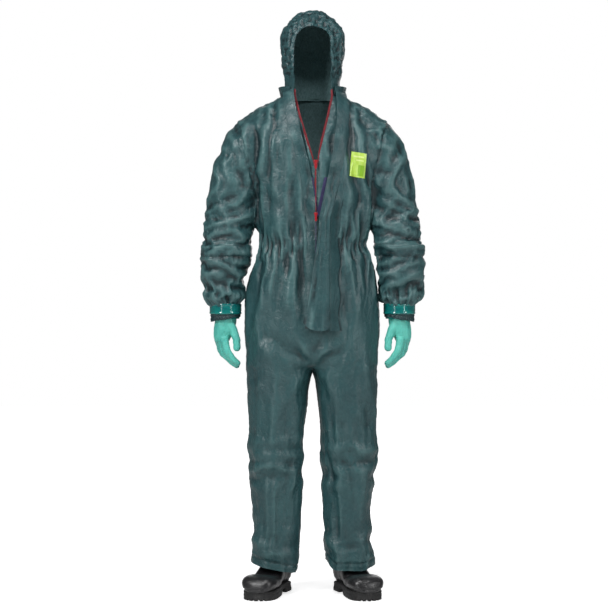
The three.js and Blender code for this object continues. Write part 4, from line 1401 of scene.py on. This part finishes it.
def hood_sheet():
    """The whole hood, crumpled all over and gathered tightly round the face."""
    points, faces = skin([loft(HOOD, power=1.05)], 0.009)
    base = worn = relax(points, springs(faces)[0], 4)
    for level, (size, rounds) in enumerate([(0.036, 150), (0.019, 80)]):
        x, y, z = base.T
        rim = face_field(x, y, z)
        close = bell(np.minimum(rim, 1), 0.014, 0.034)
        above_neck = ramp(z, 1.60, 1.69)
        turn = np.arctan2(z - 1.70, x)
        pleats = np.sin(turn * 30 + 3 * noise(base, 0.04, 71)) * (z > 1.60)
        soft = noise(base * np.array([1, 0.6, 1]), size, 72 + level)
        sharp = 0.5 - np.abs(noise(base, size * 0.8, 75 + level)) * 2
        seed = (soft + sharp) * size * (0.034 + 0.105 * close) + pleats * 0.0018 * close * (level == 0)
        seed = seed * above_neck + 0.0010 * soft * (z < 1.66)
        around = (0.022 + 0.085 * close) * (0.25 + 0.75 * above_neck)
        hold = 0.006 + 0.05 * bell(rim, 0, 0.006) + 0.05 * (z < 1.59)
        axis = np.tile([0.0, 0.0, 1.0], (len(base), 1))
        worn = wrinkle(worn, faces, seed, around, around * 0.8, hold, axis, rounds, 0.05, 0.009)
        base, finer = subdivided(base, faces)
        worn, _ = subdivided(worn, faces)
        faces = finer
    x, y, z = base.T
    out = normals(worn, faces)
    crumple = creases(base, 0.016, 78) * 0.0015 + creases(base, 0.008, 79) * 0.0009
    crisp = 0.35 + 0.65 * ramp(z, 1.62, 1.70)
    worn = worn + out * (crisp * crumple)[:, None]
    # depth feeds the cloth material's painted shade in the hood's hollows; capped at 0.15, it adds no
    # painted highlight.
    relief = worn - relax(worn, springs(faces)[0], 30)
    depth = np.clip(np.einsum("ij,ij->i", relief, out) / 0.0010, -1, 0.15)
    long_seams = np.abs(np.abs(x) - HOOD_SEAM_X) + 1.0 * (y < 0) * (z < 1.79)
    seam = np.minimum(long_seams, np.abs(face_field(x, y, z) - 0.013))
    return Sheet(np.column_stack([base, worn, seam, depth]), faces)


def hood_panels():
    """The hood's panels and its gathered rim by CAD node."""
    hood = hood_sheet()
    _, hood = hood.split(hood.plain[:, 2] - (NECK_SEAM - 0.006))
    _, hood = hood.split(face_field(*hood.plain.T))
    rim, rest = hood.split(face_field(*hood.plain.T) - 0.012)
    right, rest = rest.split(rest.plain[:, 0] + HOOD_SEAM_X)
    centre, left = rest.split(rest.plain[:, 0] - HOOD_SEAM_X)
    return {"hood_face_elastic": rim, "hood_centre_panel": centre,
            "hood_side_panel_right": right, "hood_side_panel_left": left}


def collar(side, cloth):
    """One wing of the stand-up collar, from the front edge round to the shoulder's back."""
    sign = SIGN[side]
    turn = np.radians(np.linspace(-48, 16, 52))[None, :]
    share = np.linspace(0, 1, 12)[:, None]
    flare = 0.096 + 0.013 * share + 0.0016 * np.sin(turn * 9) * share
    depth = 0.090 + 0.008 * share
    z = 1.566 + 0.042 * share - 0.006 * np.cos(turn) * (1 - share)
    grid = np.stack([sign * flare * np.cos(turn), depth * np.sin(turn), z], 2)[:, ::sign]
    crumple = noise(grid.reshape(-1, 3), 0.022, 91 + (sign > 0)).reshape(grid.shape[:2])
    grid[:, :, 0] += sign * crumple * 0.0016
    return strip_piece("collar_cloth_" + side, grid, cloth, 0.0018)


# ---- Glove rings and gloves ------------------------------------------------------------------------
def turned(name, middle, profile, material, sides=96, wobble=None, lift=None, depth=0.0):
    """A closed ring turned from a profile of radius and height. wobble adds to the radius, lift to z; depth
    is stored as the depth attribute, which below 0 gives the cloth material's painted shade.
    """
    turn = round_turns(sides)
    verts = []
    for radius, z in profile:
        reach = radius + (wobble(turn, z) if wobble else 0)
        up = lift(turn, z) if lift else 0 * turn
        verts.append(np.column_stack([middle + reach * np.cos(turn), reach * np.sin(turn), z + up]))
    points = np.vstack(verts)
    whole = np.ones(len(points))
    fields = {"ridge": 0 * whole, "seam": whole, "depth": depth * whole}
    faces = grid_faces(len(profile), sides, around=True, back=True)
    obj = facing_out(mesh_object(name, points, faces, material, fields))
    return obj


def rounded_profile(inner, outer, low, high, lip=0.0, corner=0.0016):
    """A ring's section with rounded corners and, if lip is set, a raised bead at both ends."""
    points = []
    for radius, z, start in ((outer, high, 0), (inner, high, 90), (inner, low, 180), (outer, low, 270)):
        middle = radius - corner * (1 if radius == outer else -1)
        level = z - corner * (1 if z == high else -1)
        points += arc(middle, level, corner, start, start + 90, 5)
    if lip:
        for z in np.linspace(low + corner, high - corner, 26)[1:-1]:
            beads = bell(z, low + 0.004, 0.0022) + bell(z, high - 0.004, 0.0022)
            points.append((outer + lip * beads, z))
    return points


def ring_parts(side, plastic, cloth, elastic):
    """The glove lock: outer ring, the folded cuff below it, the inner ring and the cuff's elastic."""
    low, high = cad("glove_ring_outer_" + side)
    middle, outer = (low.x + high.x) / 2, (high.x - low.x) / 2

    def pleat(turn, z):
        return 0.0012 * np.sin(turn * 27 + z * 400) + 0.0009 * np.sin(turn * 43 - z * 250)

    def dip(turn, z):
        hang = 0.0075 - 0.0075 * SIGN[side] * np.cos(turn) + 0.001 * np.sin(turn * 5)
        return hang * ramp(low.z - z, 0, 0.014)

    made = {"glove_ring_outer_": turned(
        "ring_outer_moulded_" + side, middle,
        rounded_profile(0.0476, outer - 0.0008, low.z, high.z, 0.0010), plastic)}
    cuff_low = cad("inner_cuff_" + side)[0].z
    profile = [(0.0428, cuff_low + 0.003), (0.0452, cuff_low), (0.0468, cuff_low + 0.002)]
    profile += [(0.0466 + 0.0010 * math.sin(k * 1.9), cuff_low + 0.005 + k * 0.0037) for k in range(8)]
    profile += [(0.0464, high.z - 0.004), (0.0454, high.z - 0.004), (0.0452, cuff_low + 0.009)]
    # depth -0.55 gives painted shade over the cuff, which sits under the sleeve and the ring.
    made["inner_cuff_"] = turned(
        "inner_cuff_cloth_" + side, middle, profile, cloth, 160, pleat, dip, -0.55)
    ring = cad("glove_ring_inner_" + side)
    made["glove_ring_inner_"] = turned(
        "ring_inner_moulded_" + side, middle,
        rounded_profile(0.0412, 0.0440, ring[0].z, ring[1].z, 0, 0.0010), plastic)
    band = cad("cuff_elastic_" + side)
    made["cuff_elastic_"] = turned(
        "cuff_elastic_braid_" + side, middle,
        rounded_profile(0.0462, 0.0476, band[0].z, band[1].z, 0, 0.0005), elastic, 120)
    return made


# Capsule chains of the relaxed left hand, in mm from the ring's axis: x, y, z and radius.
HAND = [
    [(0, 0, 892, 37.5), (0, 0, 862, 36), (6, -2, 838, 33), (12, -2, 815, 27)],
    [(-6, 0, 846, 26), (4, -14, 812, 17)],
    [(14, 8, 822, 24), (21, 8, 806, 16)],
    [(4, -20, 806, 14.5), (-6, -27, 768, 12.5), (-25, -24, 743, 11), (-39, -20, 731, 10)],
    [(14, -8, 802, 13), (4, -13, 760, 11), (-20, -10, 734, 10), (-36, -6, 723, 9.5)],
    [(20, 5, 800, 12), (9, 3, 760, 10.5), (-16, 5, 738, 10), (-33, 8, 732, 9)],
    [(25, 16, 804, 11), (17, 15, 770, 9.5), (-4, 17, 750, 9), (-18, 19, 742, 8)],
    [(-8, -14, 860, 19), (-25, -22, 836, 14.5), (-36, -27, 806, 12.5), (-37, -28, 780, 12)],
]


def capsules(chain, middle, sign):
    """Overlapping spheres along a chain of points: a smooth finger when skinned."""
    parts = []
    for start, end in zip(np.array(chain, float), np.array(chain[1:], float)):
        steps = max(3, int(math.dist(start[:3], end[:3]) / 2.5))
        for t in np.linspace(0, 1, steps):
            *place, radius = start + (end - start) * t
            parts.append(sphere(Vector(place) * MM, radius * MM, middle, sign))
    return parts


SPHERE = {}


def sphere(place, radius, middle, sign):
    if not SPHERE:
        ball = bmesh.new()
        bmesh.ops.create_icosphere(ball, subdivisions=2, radius=1)
        SPHERE["verts"] = np.array([v.co[:] for v in ball.verts])
        SPHERE["faces"] = [tuple(v.index for v in f.verts) for f in ball.faces]
        ball.free()
    verts = SPHERE["verts"] * radius + np.array(place)
    verts[:, 0] = middle + sign * verts[:, 0]
    faces = SPHERE["faces"] if sign > 0 else [f[::-1] for f in SPHERE["faces"]]
    return verts, faces


def glove(side, material):
    """A nitrile glove round a relaxed hand, hollow at the wrist, wrinkled at its joints."""
    sign = SIGN[side]
    low, high = cad("glove_ring_outer_" + side)
    middle = (low.x + high.x) / 2
    parts = [ball for chain in HAND for ball in capsules(chain, middle, sign)]
    points, faces = skin(parts, 0.0022)
    edges, _ = springs(faces)
    points = relax(points, edges, 3)
    local = points.copy()
    local[:, 0] = sign * (local[:, 0] - middle)
    z = local[:, 2]
    bends = bell(z, 0.862, 0.012) * 0.5 + bell(z, 0.806, 0.02) + bell(z, 0.765, 0.014)
    rings = noise(local * np.array([0.5, 0.5, 1.5]), 0.011, 101)
    folds = creases(local * np.array([0.8, 0.8, 1.2]), 0.017, 102)
    height = 0.0009 * rings * bends + 0.0010 * folds * (0.35 + bends)
    points = points + normals(points, faces) * height[:, None]
    points = relax(points, edges, 1, 0.4)
    sheet = Sheet(np.column_stack([local, points]), faces)
    sheet, _ = sheet.split(sheet.plain[:, 2] - 0.884)
    whole = sheet.faces()
    # ridge drives the glove material's painted shade and painted highlights.
    fields = {"ridge": hollow(sheet.worn, whole)}
    obj = mesh_object("glove_nitrile_" + side, sheet.worn, whole, material, fields)
    thickened(obj, 0.0008)
    return obj


# ---- Safety shoes ----------------------------------------------------------------------------------
# Sections of the left shoe from heel to toe, in mm: along the foot, half width, top height, bulge.
SHOE_UPPER = [
    (2, 20, 68, 0), (8, 30, 82, 0), (16, 36, 96, 0), (30, 39, 114, 0), (46, 40, 121, 0),
    (84, 40, 116, 0), (112, 43, 95, 0.1), (142, 47, 73, 0.3), (166, 51, 65.5, 0.6), (198, 54, 72, 0.9),
    (230, 54.5, 75, 1), (254, 50, 74, 1),
    (271, 42, 66, 1), (280, 30, 55, 1), (284, 16, 44, 1),
]
SHOE_TURN = math.radians(17)  # how far the toes point outwards
SHOE_HEEL = (0.095, 0.078)  # x and y of the left heel's back
SHOE_LENGTH = 0.282
SOLE_TOP = 0.027


def shoe_frame(side):
    """Turns a shoe's own coordinates, heel at the origin and toe towards -Y, to its place."""
    sign = SIGN[side]

    def put(points):
        c, s = math.cos(SHOE_TURN), math.sin(SHOE_TURN)
        x = points[:, 0] * c - points[:, 1] * s + SHOE_HEEL[0]
        y = points[:, 0] * s + points[:, 1] * c + SHOE_HEEL[1]
        return np.column_stack([sign * x, y, points[:, 2]])

    return put, sign


def shoe_half(t):
    """Half width of the sole at a share t of its length."""
    heel = math.sqrt(max(0, 1 - max(0, (0.12 - t) / 0.12) ** 2))
    toe = math.sqrt(max(0, 1 - max(0, (t - 0.80) / 0.20) ** 2))
    wide = 0.037 + 0.0145 * float(ramp(np.array(t), 0.3, 0.72))
    return wide * heel * toe


def shoe_outline(grow, length=SHOE_LENGTH, steps=40):
    """The sole's outline, grown outwards, as x and y."""
    t = np.linspace(0.002, 0.998, steps)
    swing = 0.005 * np.sin(math.pi * t)
    half = np.array([max(0.001, shoe_half(v) + grow) for v in t])
    right = np.column_stack([swing + half, -t * length])
    left = np.column_stack([swing - half, -t * length])[::-1]
    return np.vstack([right, left])


def prism(outline, levels):
    """A closed stack of outlines: levels gives each one's height and how far it is grown."""
    count = len(outline(0))
    points = np.vstack([np.column_stack([outline(grow), np.full(count, z)]) for z, grow in levels])
    return points, [f[::-1] for f in tube_faces(len(levels), count)]


def shoe_upper_points(sides=48):
    """The upper's outer form, from the table, as a closed tube from heel to toe."""
    turn = round_turns(sides)
    rise = (np.sin(turn) + 1) / 2
    stack = []
    for y, half, top, bulge in spline(SHOE_UPPER, 6):
        y, half, top = y * MM, half * MM, top * MM
        x = np.sign(np.cos(turn)) * np.abs(np.cos(turn)) ** (0.62 - 0.14 * bulge) * half
        belly = 1 + 0.05 * bulge * np.sin(rise * math.pi)
        swing = 0.005 * math.sin(math.pi * y / SHOE_LENGTH)
        z = 0.024 + (top - 0.024) * rise**0.92
        stack.append(np.column_stack([x * belly + swing, np.full(sides, -y), z]))
    return np.vstack(stack), tube_faces(len(stack), sides)


def shoe_upper(side, material):
    """The leather upper: padded collar, stitched seams, toe crease and a full, rounded toe."""
    put, sign = shoe_frame(side)
    points, faces = skin([shoe_upper_points()], 0.0026)
    points = relax(points, springs(faces)[0], 3)
    x, y, z = points.T
    toe_seam = np.abs(-y - 0.196 - 0.10 * np.abs(x) * (z > 0.05))
    back_seam = np.abs(-y - 0.086 - 0.25 * (z - 0.06))
    seam = np.minimum.reduce([toe_seam, back_seam, np.abs(z - 0.036)])
    crease = bell(-y, 0.160, 0.022) * (z > 0.055)
    fold = np.sin(-y * 900 + 4 * noise(points, 0.03, 111)) * crease
    height = 0.0011 * fold - 0.0010 * bell(seam, 0, 0.0022) + 0.0006 * bell(seam, 0.0045, 0.0022)
    height += 0.0016 * bell(z, 0.112, 0.009) * (-y < 0.11) + 0.0008 * noise(points, 0.02, 112)
    points = points + normals(points, faces) * height[:, None]
    sheet = Sheet(np.column_stack([points, points]), faces)
    along = -sheet.plain[:, 1]
    opening = np.clip(0.104 - 0.10 * (along - 0.05), 0.096, 0.112) + 0.9 * (along > 0.115)
    sheet, _ = sheet.split(sheet.plain[:, 2] - opening)
    _, sheet = sheet.split(sheet.plain[:, 2] - SOLE_TOP)
    faces = [f[::sign] for f in sheet.faces()]
    placed = put(sheet.worn)
    obj = mesh_object("shoe_leather_" + side, placed, faces, material, {"ridge": hollow(placed, faces)})
    thickened(obj, 0.0020)
    return obj


def sole_lugs():
    """Blocks set into the lower edge of the sole all round, except under its arch."""
    outline = shoe_outline(0.0006, steps=34)
    lugs = []
    for (x0, y0), (x1, y1) in zip(outline[:-1], outline[1:]):
        x, y = (x0 + x1) / 2, (y0 + y1) / 2
        along = Vector((x1 - x0, y1 - y0, 0))
        if 0.080 < -y < 0.122 or along.length < 0.0035:
            continue
        size = (min(along.length * 0.82, 0.0100), 0.012, 0.0100)
        centre = (x * 0.88, y + 0.004 * (-y > 0.25), 0.0050)
        up = Vector((0, 0, 1))
        lugs.append((np.array(box_points(centre, along, along.cross(up), up, size)), BLOCK_FACES))
    return lugs


def sole_pad(low, high):
    """A block under the heel or the ball of the foot, between two distances from the heel."""
    run = np.linspace(low / SHOE_LENGTH, high / SHOE_LENGTH, 12)
    half = np.array([shoe_half(t) for t in run]) - 0.007

    def outline(grow):
        right = np.column_stack([half + grow, -run * SHOE_LENGTH])
        left = np.column_stack([-(half + grow), -run * SHOE_LENGTH])[::-1]
        return np.vstack([right, left])

    return prism(outline, [(0.0025, 0), (0.010, 0)])


def shoe_sole(side, material):
    """The rubber sole: a thick rounded wall with a groove, a heel block, an arch and side lugs."""
    put, sign = shoe_frame(side)
    wall = [(0.005, -0.0016), (0.0065, 0.0006), (0.0120, 0.0014), (0.0170, 0.0014), (0.0182, -0.0004),
            (0.0200, -0.0004), (0.0222, 0.0012), (0.0270, 0.0008), (0.0290, -0.0012)]
    parts = [prism(shoe_outline, wall), *sole_lugs(), sole_pad(0.012, 0.078), sole_pad(0.124, 0.262)]
    points, faces = skin(parts, 0.0021)
    points = relax(points, springs(faces)[0], 1)
    arch = 0.015 * ramp(-points[:, 1], 0.076, 0.084) * ramp(0.136 + points[:, 1], 0, 0.022)
    points[:, 2] = np.maximum(points[:, 2], arch)
    placed = put(points)
    faces = [tuple(f[::sign]) for f in faces.tolist()]
    fields = {"ridge": hollow(placed, faces)}
    obj = mesh_object("shoe_sole_rubber_" + side, placed, faces, material, fields)
    return obj


def insole(side, material):
    """The loose foam sole inside the shoe, with softened edges."""
    put, sign = shoe_frame(side)
    low, high = cad("insole_" + side)
    outline = lambda grow: shoe_outline(grow - 0.009, length=SHOE_LENGTH * 0.9)
    levels = [(low.z, -0.0006), (low.z + 0.0008, 0), (high.z - 0.0006, 0), (high.z, -0.0006)]
    points, faces = prism(outline, levels)
    placed = put(points + np.array([0, -0.012, 0]))
    obj = facing_out(mesh_object("insole_foam_" + side, placed, [f[::sign] for f in faces], material))
    return obj


# ---- Bands sewn inside the cloth -------------------------------------------------------------------
def inner_band(name, sheets, low, high, depth, material):
    """An elastic band that follows the inside of the cloth between two heights."""
    verts, faces = [], []
    for sheet in sheets:
        _, part = sheet.split(sheet.plain[:, 2] - low(sheet.plain))
        part, _ = part.split(part.plain[:, 2] - high(part.plain))
        own = part.faces()
        turn = face_turns(part.worn, own)
        out = unit(sum(summed([f[k] for f in own], turn, len(part.worn)) for k in range(3)))
        faces += [tuple(i + len(verts) for i in f) for f in own]
        verts += (part.worn - out * depth).tolist()
    obj = thickened(mesh_object(name, verts, faces, material), 0.0008)
    return obj


def chest_label(surface, material):
    """The film label, crumpled with the cloth under it, a little further out and up than its node."""
    low, high = cad("chest_label")
    u, v = np.linspace(0, 1, 30)[None, :], np.linspace(0, 1, 40)[:, None]
    x = low.x + 0.012 + (high.x - low.x) * (0.88 * u + 0.12 * v)
    z = low.z + 0.012 + (high.z - low.z - 0.008) * v - 0.008 * u + 0.004
    grid = np.stack([x, resting_y(surface, x, z) - 0.0007, z], 2)
    return strip_piece("chest_label_film", grid, material, 0.0004, 0)


# ---- Stage -----------------------------------------------------------------------------------------
def plain_floor():
    """The pale floor; where the camera sees it, it glows to the white of the backdrop."""
    verts = [(x, y, -0.0004) for x, y in ((-9, -9), (9, -9), (9, 9), (-9, 9))]
    s = Shader("studio_floor", 0.6)
    seen = s.node("ShaderNodeLightPath").outputs["Is Camera Ray"]
    far = s.node("ShaderNodeVectorMath", {"Vector": s.rest()}, operation="LENGTH").outputs["Value"]
    glow = s.math("MULTIPLY", seen, s.ramp(far, 0.5, 1.8, 0.62, 1.0))
    s.set(Base_Color=(0.8, 0.8, 0.8, 1), Emission_Color=(1, 1, 1, 1), Emission_Strength=glow)
    mesh_object("studio_floor", verts, [(0, 1, 2, 3)], s.material)


def area_light(name, place, aim_height, size, power):
    """A rectangular lamp that points at a given height above the origin."""
    data = bpy.data.lights.new(name, "AREA")
    data.shape = "RECTANGLE"
    data.size, data.size_y = size
    data.energy = power
    obj = bpy.data.objects.new(name, data)
    obj.location = place
    aim = Vector((0, 0, aim_height)) - Vector(place)
    obj.rotation_euler = aim.to_track_quat("-Z", "Y").to_euler()
    bpy.context.scene.collection.objects.link(obj)


def studio():
    """A white world that is dim as a light, and six soft lamps."""
    world = bpy.data.worlds.new("studio")
    bpy.context.scene.world = world
    world.use_nodes = True
    tree = world.node_tree
    background = tree.nodes["Background"]
    background.inputs["Color"].default_value = (1, 1, 1, 1)
    seen = tree.nodes.new("ShaderNodeMapRange")
    seen.inputs["To Min"].default_value = 0.15
    tree.links.new(tree.nodes.new("ShaderNodeLightPath").outputs["Is Camera Ray"], seen.inputs["Value"])
    tree.links.new(seen.outputs[0], background.inputs["Strength"])
    area_light("key", (-2.4, -2.8, 3.0), 1.1, (0.8, 1.3), 96)
    area_light("fill", (2.8, -2.4, 2.1), 1.0, (0.7, 1.6), 36)
    area_light("top", (0.1, -1.5, 3.5), 1.1, (1.2, 0.7), 42)
    area_light("back", (0.5, 3.6, 1.9), 1.0, (2.6, 2.2), 30)
    area_light("strip_right", (-1.5, -2.3, 1.0), 1.0, (0.10, 1.9), 8)
    area_light("strip_left", (1.7, -2.2, 1.0), 1.0, (0.10, 1.9), 8)
    bpy.context.scene.view_settings.view_transform = "Standard"


def camera():
    """A long lens seven metres in front of the suit, just below the waist; the shift centres it."""
    data = bpy.data.cameras.new("camera")
    data.lens = 130
    data.shift_y = -0.0677
    obj = bpy.data.objects.new("camera", data)
    obj.location = at(-0.027, -7, 1.05)
    obj.rotation_euler = (math.pi / 2, 0, 0)
    bpy.context.scene.collection.objects.link(obj)
    bpy.context.scene.camera = obj


# ---- Putting the suit together ---------------------------------------------------------------------
def at(x, y, z):
    """A place given from the body's axis, in the frame."""
    return tuple(Vector((x, y, z)) + AXIS)


def stand_in(node, piece, body):
    """The piece stands for one CAD node and rides on one body."""
    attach(piece, body)
    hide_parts(node)


def bend(node, piece, first, second, start, end):
    """The piece stands for one CAD node, whose part is hidden; its placement is baked into its mesh."""
    at(*start)
    at(*end)
    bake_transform(piece)
    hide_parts(node)


def dress_torso(surface, panels, looks):
    """The trunk's panels, zip tapes, collar, lapels, storm flap, label and waist elastic."""
    cloth, elastic = looks["cloth"], looks["elastic"]
    for name in ("front_panel_left", "front_panel_right", "back_panel", "seat_panel"):
        stand_in(name, cloth_piece(name + "_cloth", panels[name], cloth), "torso")
    for node, piece in tapes(surface, looks["red"], looks["navy"]).items():
        stand_in(node, piece, "torso")
    for side in SIGN:
        stand_in("collar_" + side, collar(side, cloth), "torso")
    lapel_edge, right, left = lapels(surface, cloth)
    stand_in("lapel_right", right, "torso")
    bend("lapel_left", left, "torso", "flap", (0.06, -0.13, 1.32), (0.06, -0.13, 1.196))
    flap, fold = storm_flap(surface, cloth, lapel_edge)
    stand_in("storm_flap", flap, "flap")
    stand_in("flap_base", fold, "torso")
    stand_in("flap_closure_strip", closure_strip(elastic), "flap")
    stand_in("chest_label", chest_label(surface, looks["label"]), "torso")
    waist = [panels[name] for name in ("front_panel_left", "front_panel_right", "seat_panel", "back_panel")]
    low, high = (lambda p: WAIST - 0.012), (lambda p: WAIST + 0.012)
    band = inner_band("waist_elastic_braid", waist, low, high, 0.0030, elastic)
    stand_in("waist_elastic", band, "torso")


def dress_zips(surface, looks):
    """Both zips' chains, sliders and pulls. Only the inner chain runs on up its open edges."""
    for prefix, colour in (("inner", "red"), ("outer", "navy")):
        low, high = cad(prefix + "_zip_chain")
        places = chain_places(low.z, high.z, low.y + 0.0008)
        if prefix == "inner":
            for edge, offset in ((INNER_RIGHT, 2.6), (INNER_LEFT, -2.6)):
                places += open_places(surface, edge, offset, 1.378, 1.596)
        chain = teeth(prefix + "_zip_teeth", places, looks["teeth_" + colour])
        stand_in(prefix + "_zip_chain", chain, "torso")
    for prefix in ("inner", "outer"):
        body, pull = slider(prefix + "_zip", looks["slider"])
        stand_in(prefix + "_zip_slider", body, prefix + "_slider")
        stand_in(prefix + "_zip_pull", pull, prefix + "_pull")
    stand_in("inner_zip_end_stop", stop_block(looks["slider"]), "torso")


def dress_hood(looks):
    """The hood's panels and rim."""
    for name, sheet in hood_panels().items():
        piece = cloth_piece(name + "_cloth", sheet, looks["cloth"])
        bend(name, piece, "torso", "hood", (0, 0, 1.576), (0, 0, 1.650))


def dress_arm(side, panels, looks):
    """One sleeve with its cuff, locking rings and glove."""
    sign = SIGN[side]
    upper = cloth_piece("upper_sleeve_cloth_" + side, panels["upper_sleeve_" + side], looks["cloth"])
    bend("upper_sleeve_" + side, upper, "torso", "upper_arm_" + side,
         (sign * 0.206, 0, 1.400), (sign * 0.292, 0, 1.355))
    lower = cloth_piece("lower_sleeve_cloth_" + side, panels["lower_sleeve_" + side], looks["cloth"])
    bend("lower_sleeve_" + side, lower, "upper_arm_" + side, "forearm_" + side,
         (sign * 0.272, 0, ELBOW_SEAM), (sign * 0.276, 0, 0.985))
    for node, piece in ring_parts(side, looks["ring"], looks["cloth"][0], looks["elastic"]).items():
        body = "hand_" if node == "glove_ring_inner_" else "forearm_"
        stand_in(node + side, piece, body + side)
    stand_in("glove_" + side, glove(side, looks["glove"]), "hand_" + side)


def dress_leg(side, panels, looks):
    """One leg with its hem tape and shoe. The toe cap is the CAD's own solid, in steel."""
    sign = SIGN[side]
    upper = cloth_piece("upper_leg_cloth_" + side, panels["upper_leg_" + side], looks["cloth"])
    bend("upper_leg_" + side, upper, "torso", "thigh_" + side,
         (sign * 0.107, 0, HIP_SEAM), (sign * 0.107, 0, 0.575))
    lower = cloth_piece("lower_leg_cloth_" + side, panels["lower_leg_" + side], looks["cloth"])
    bend("lower_leg_" + side, lower, "thigh_" + side, "shank_" + side,
         (sign * 0.116, 0, KNEE_SEAM), (sign * 0.116, 0, 0.340))
    above_hem = lambda gap: lambda p: hem_height(p[:, 0], p[:, 1]) + gap
    tape = inner_band("hem_tape_weave_" + side, [panels["lower_leg_" + side]],
                      above_hem(0.002), above_hem(0.022), 0.0026, looks["elastic"])
    stand_in("hem_tape_" + side, tape, "shank_" + side)
    foot = "foot_" + side
    stand_in("shoe_upper_" + side, shoe_upper(side, looks["leather"]), foot)
    stand_in("shoe_sole_" + side, shoe_sole(side, looks["rubber"]), foot)
    stand_in("insole_" + side, insole(side, looks["elastic"]), foot)
    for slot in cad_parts["toe_cap_" + side].material_slots:
        slot.material = looks["steel"]


def build():
    """Makes the materials, then every piece of the suit."""
    looks = {
        "cloth": [coated_cloth(), cloth_lining()],
        "red": zip_tape("zip_red", (70, 10, 20), (122, 22, 34)),
        "navy": zip_tape("zip_navy", (16, 16, 44), (52, 48, 98)),
        "teeth_red": zip_tape("zip_teeth_red", (120, 16, 26), (172, 36, 46)),
        "teeth_navy": zip_tape("zip_teeth_navy", (30, 30, 62), (70, 68, 120)),
        "slider": painted_metal(),
        "elastic": ribbed_elastic(),
        "ring": moulded_ring(),
        "glove": glove_nitrile(),
        "label": printed_label(),
        "leather": shoe_leather(),
        "rubber": shoe_rubber(),
        "steel": pressed_steel(),
    }
    panels, surface = body_panels()
    dress_torso(surface, panels, looks)
    dress_zips(surface, looks)
    dress_hood(looks)
    for side in SIGN:
        dress_arm(side, panels, looks)
        dress_leg(side, panels, looks)


build()
plain_floor()
studio()
camera()
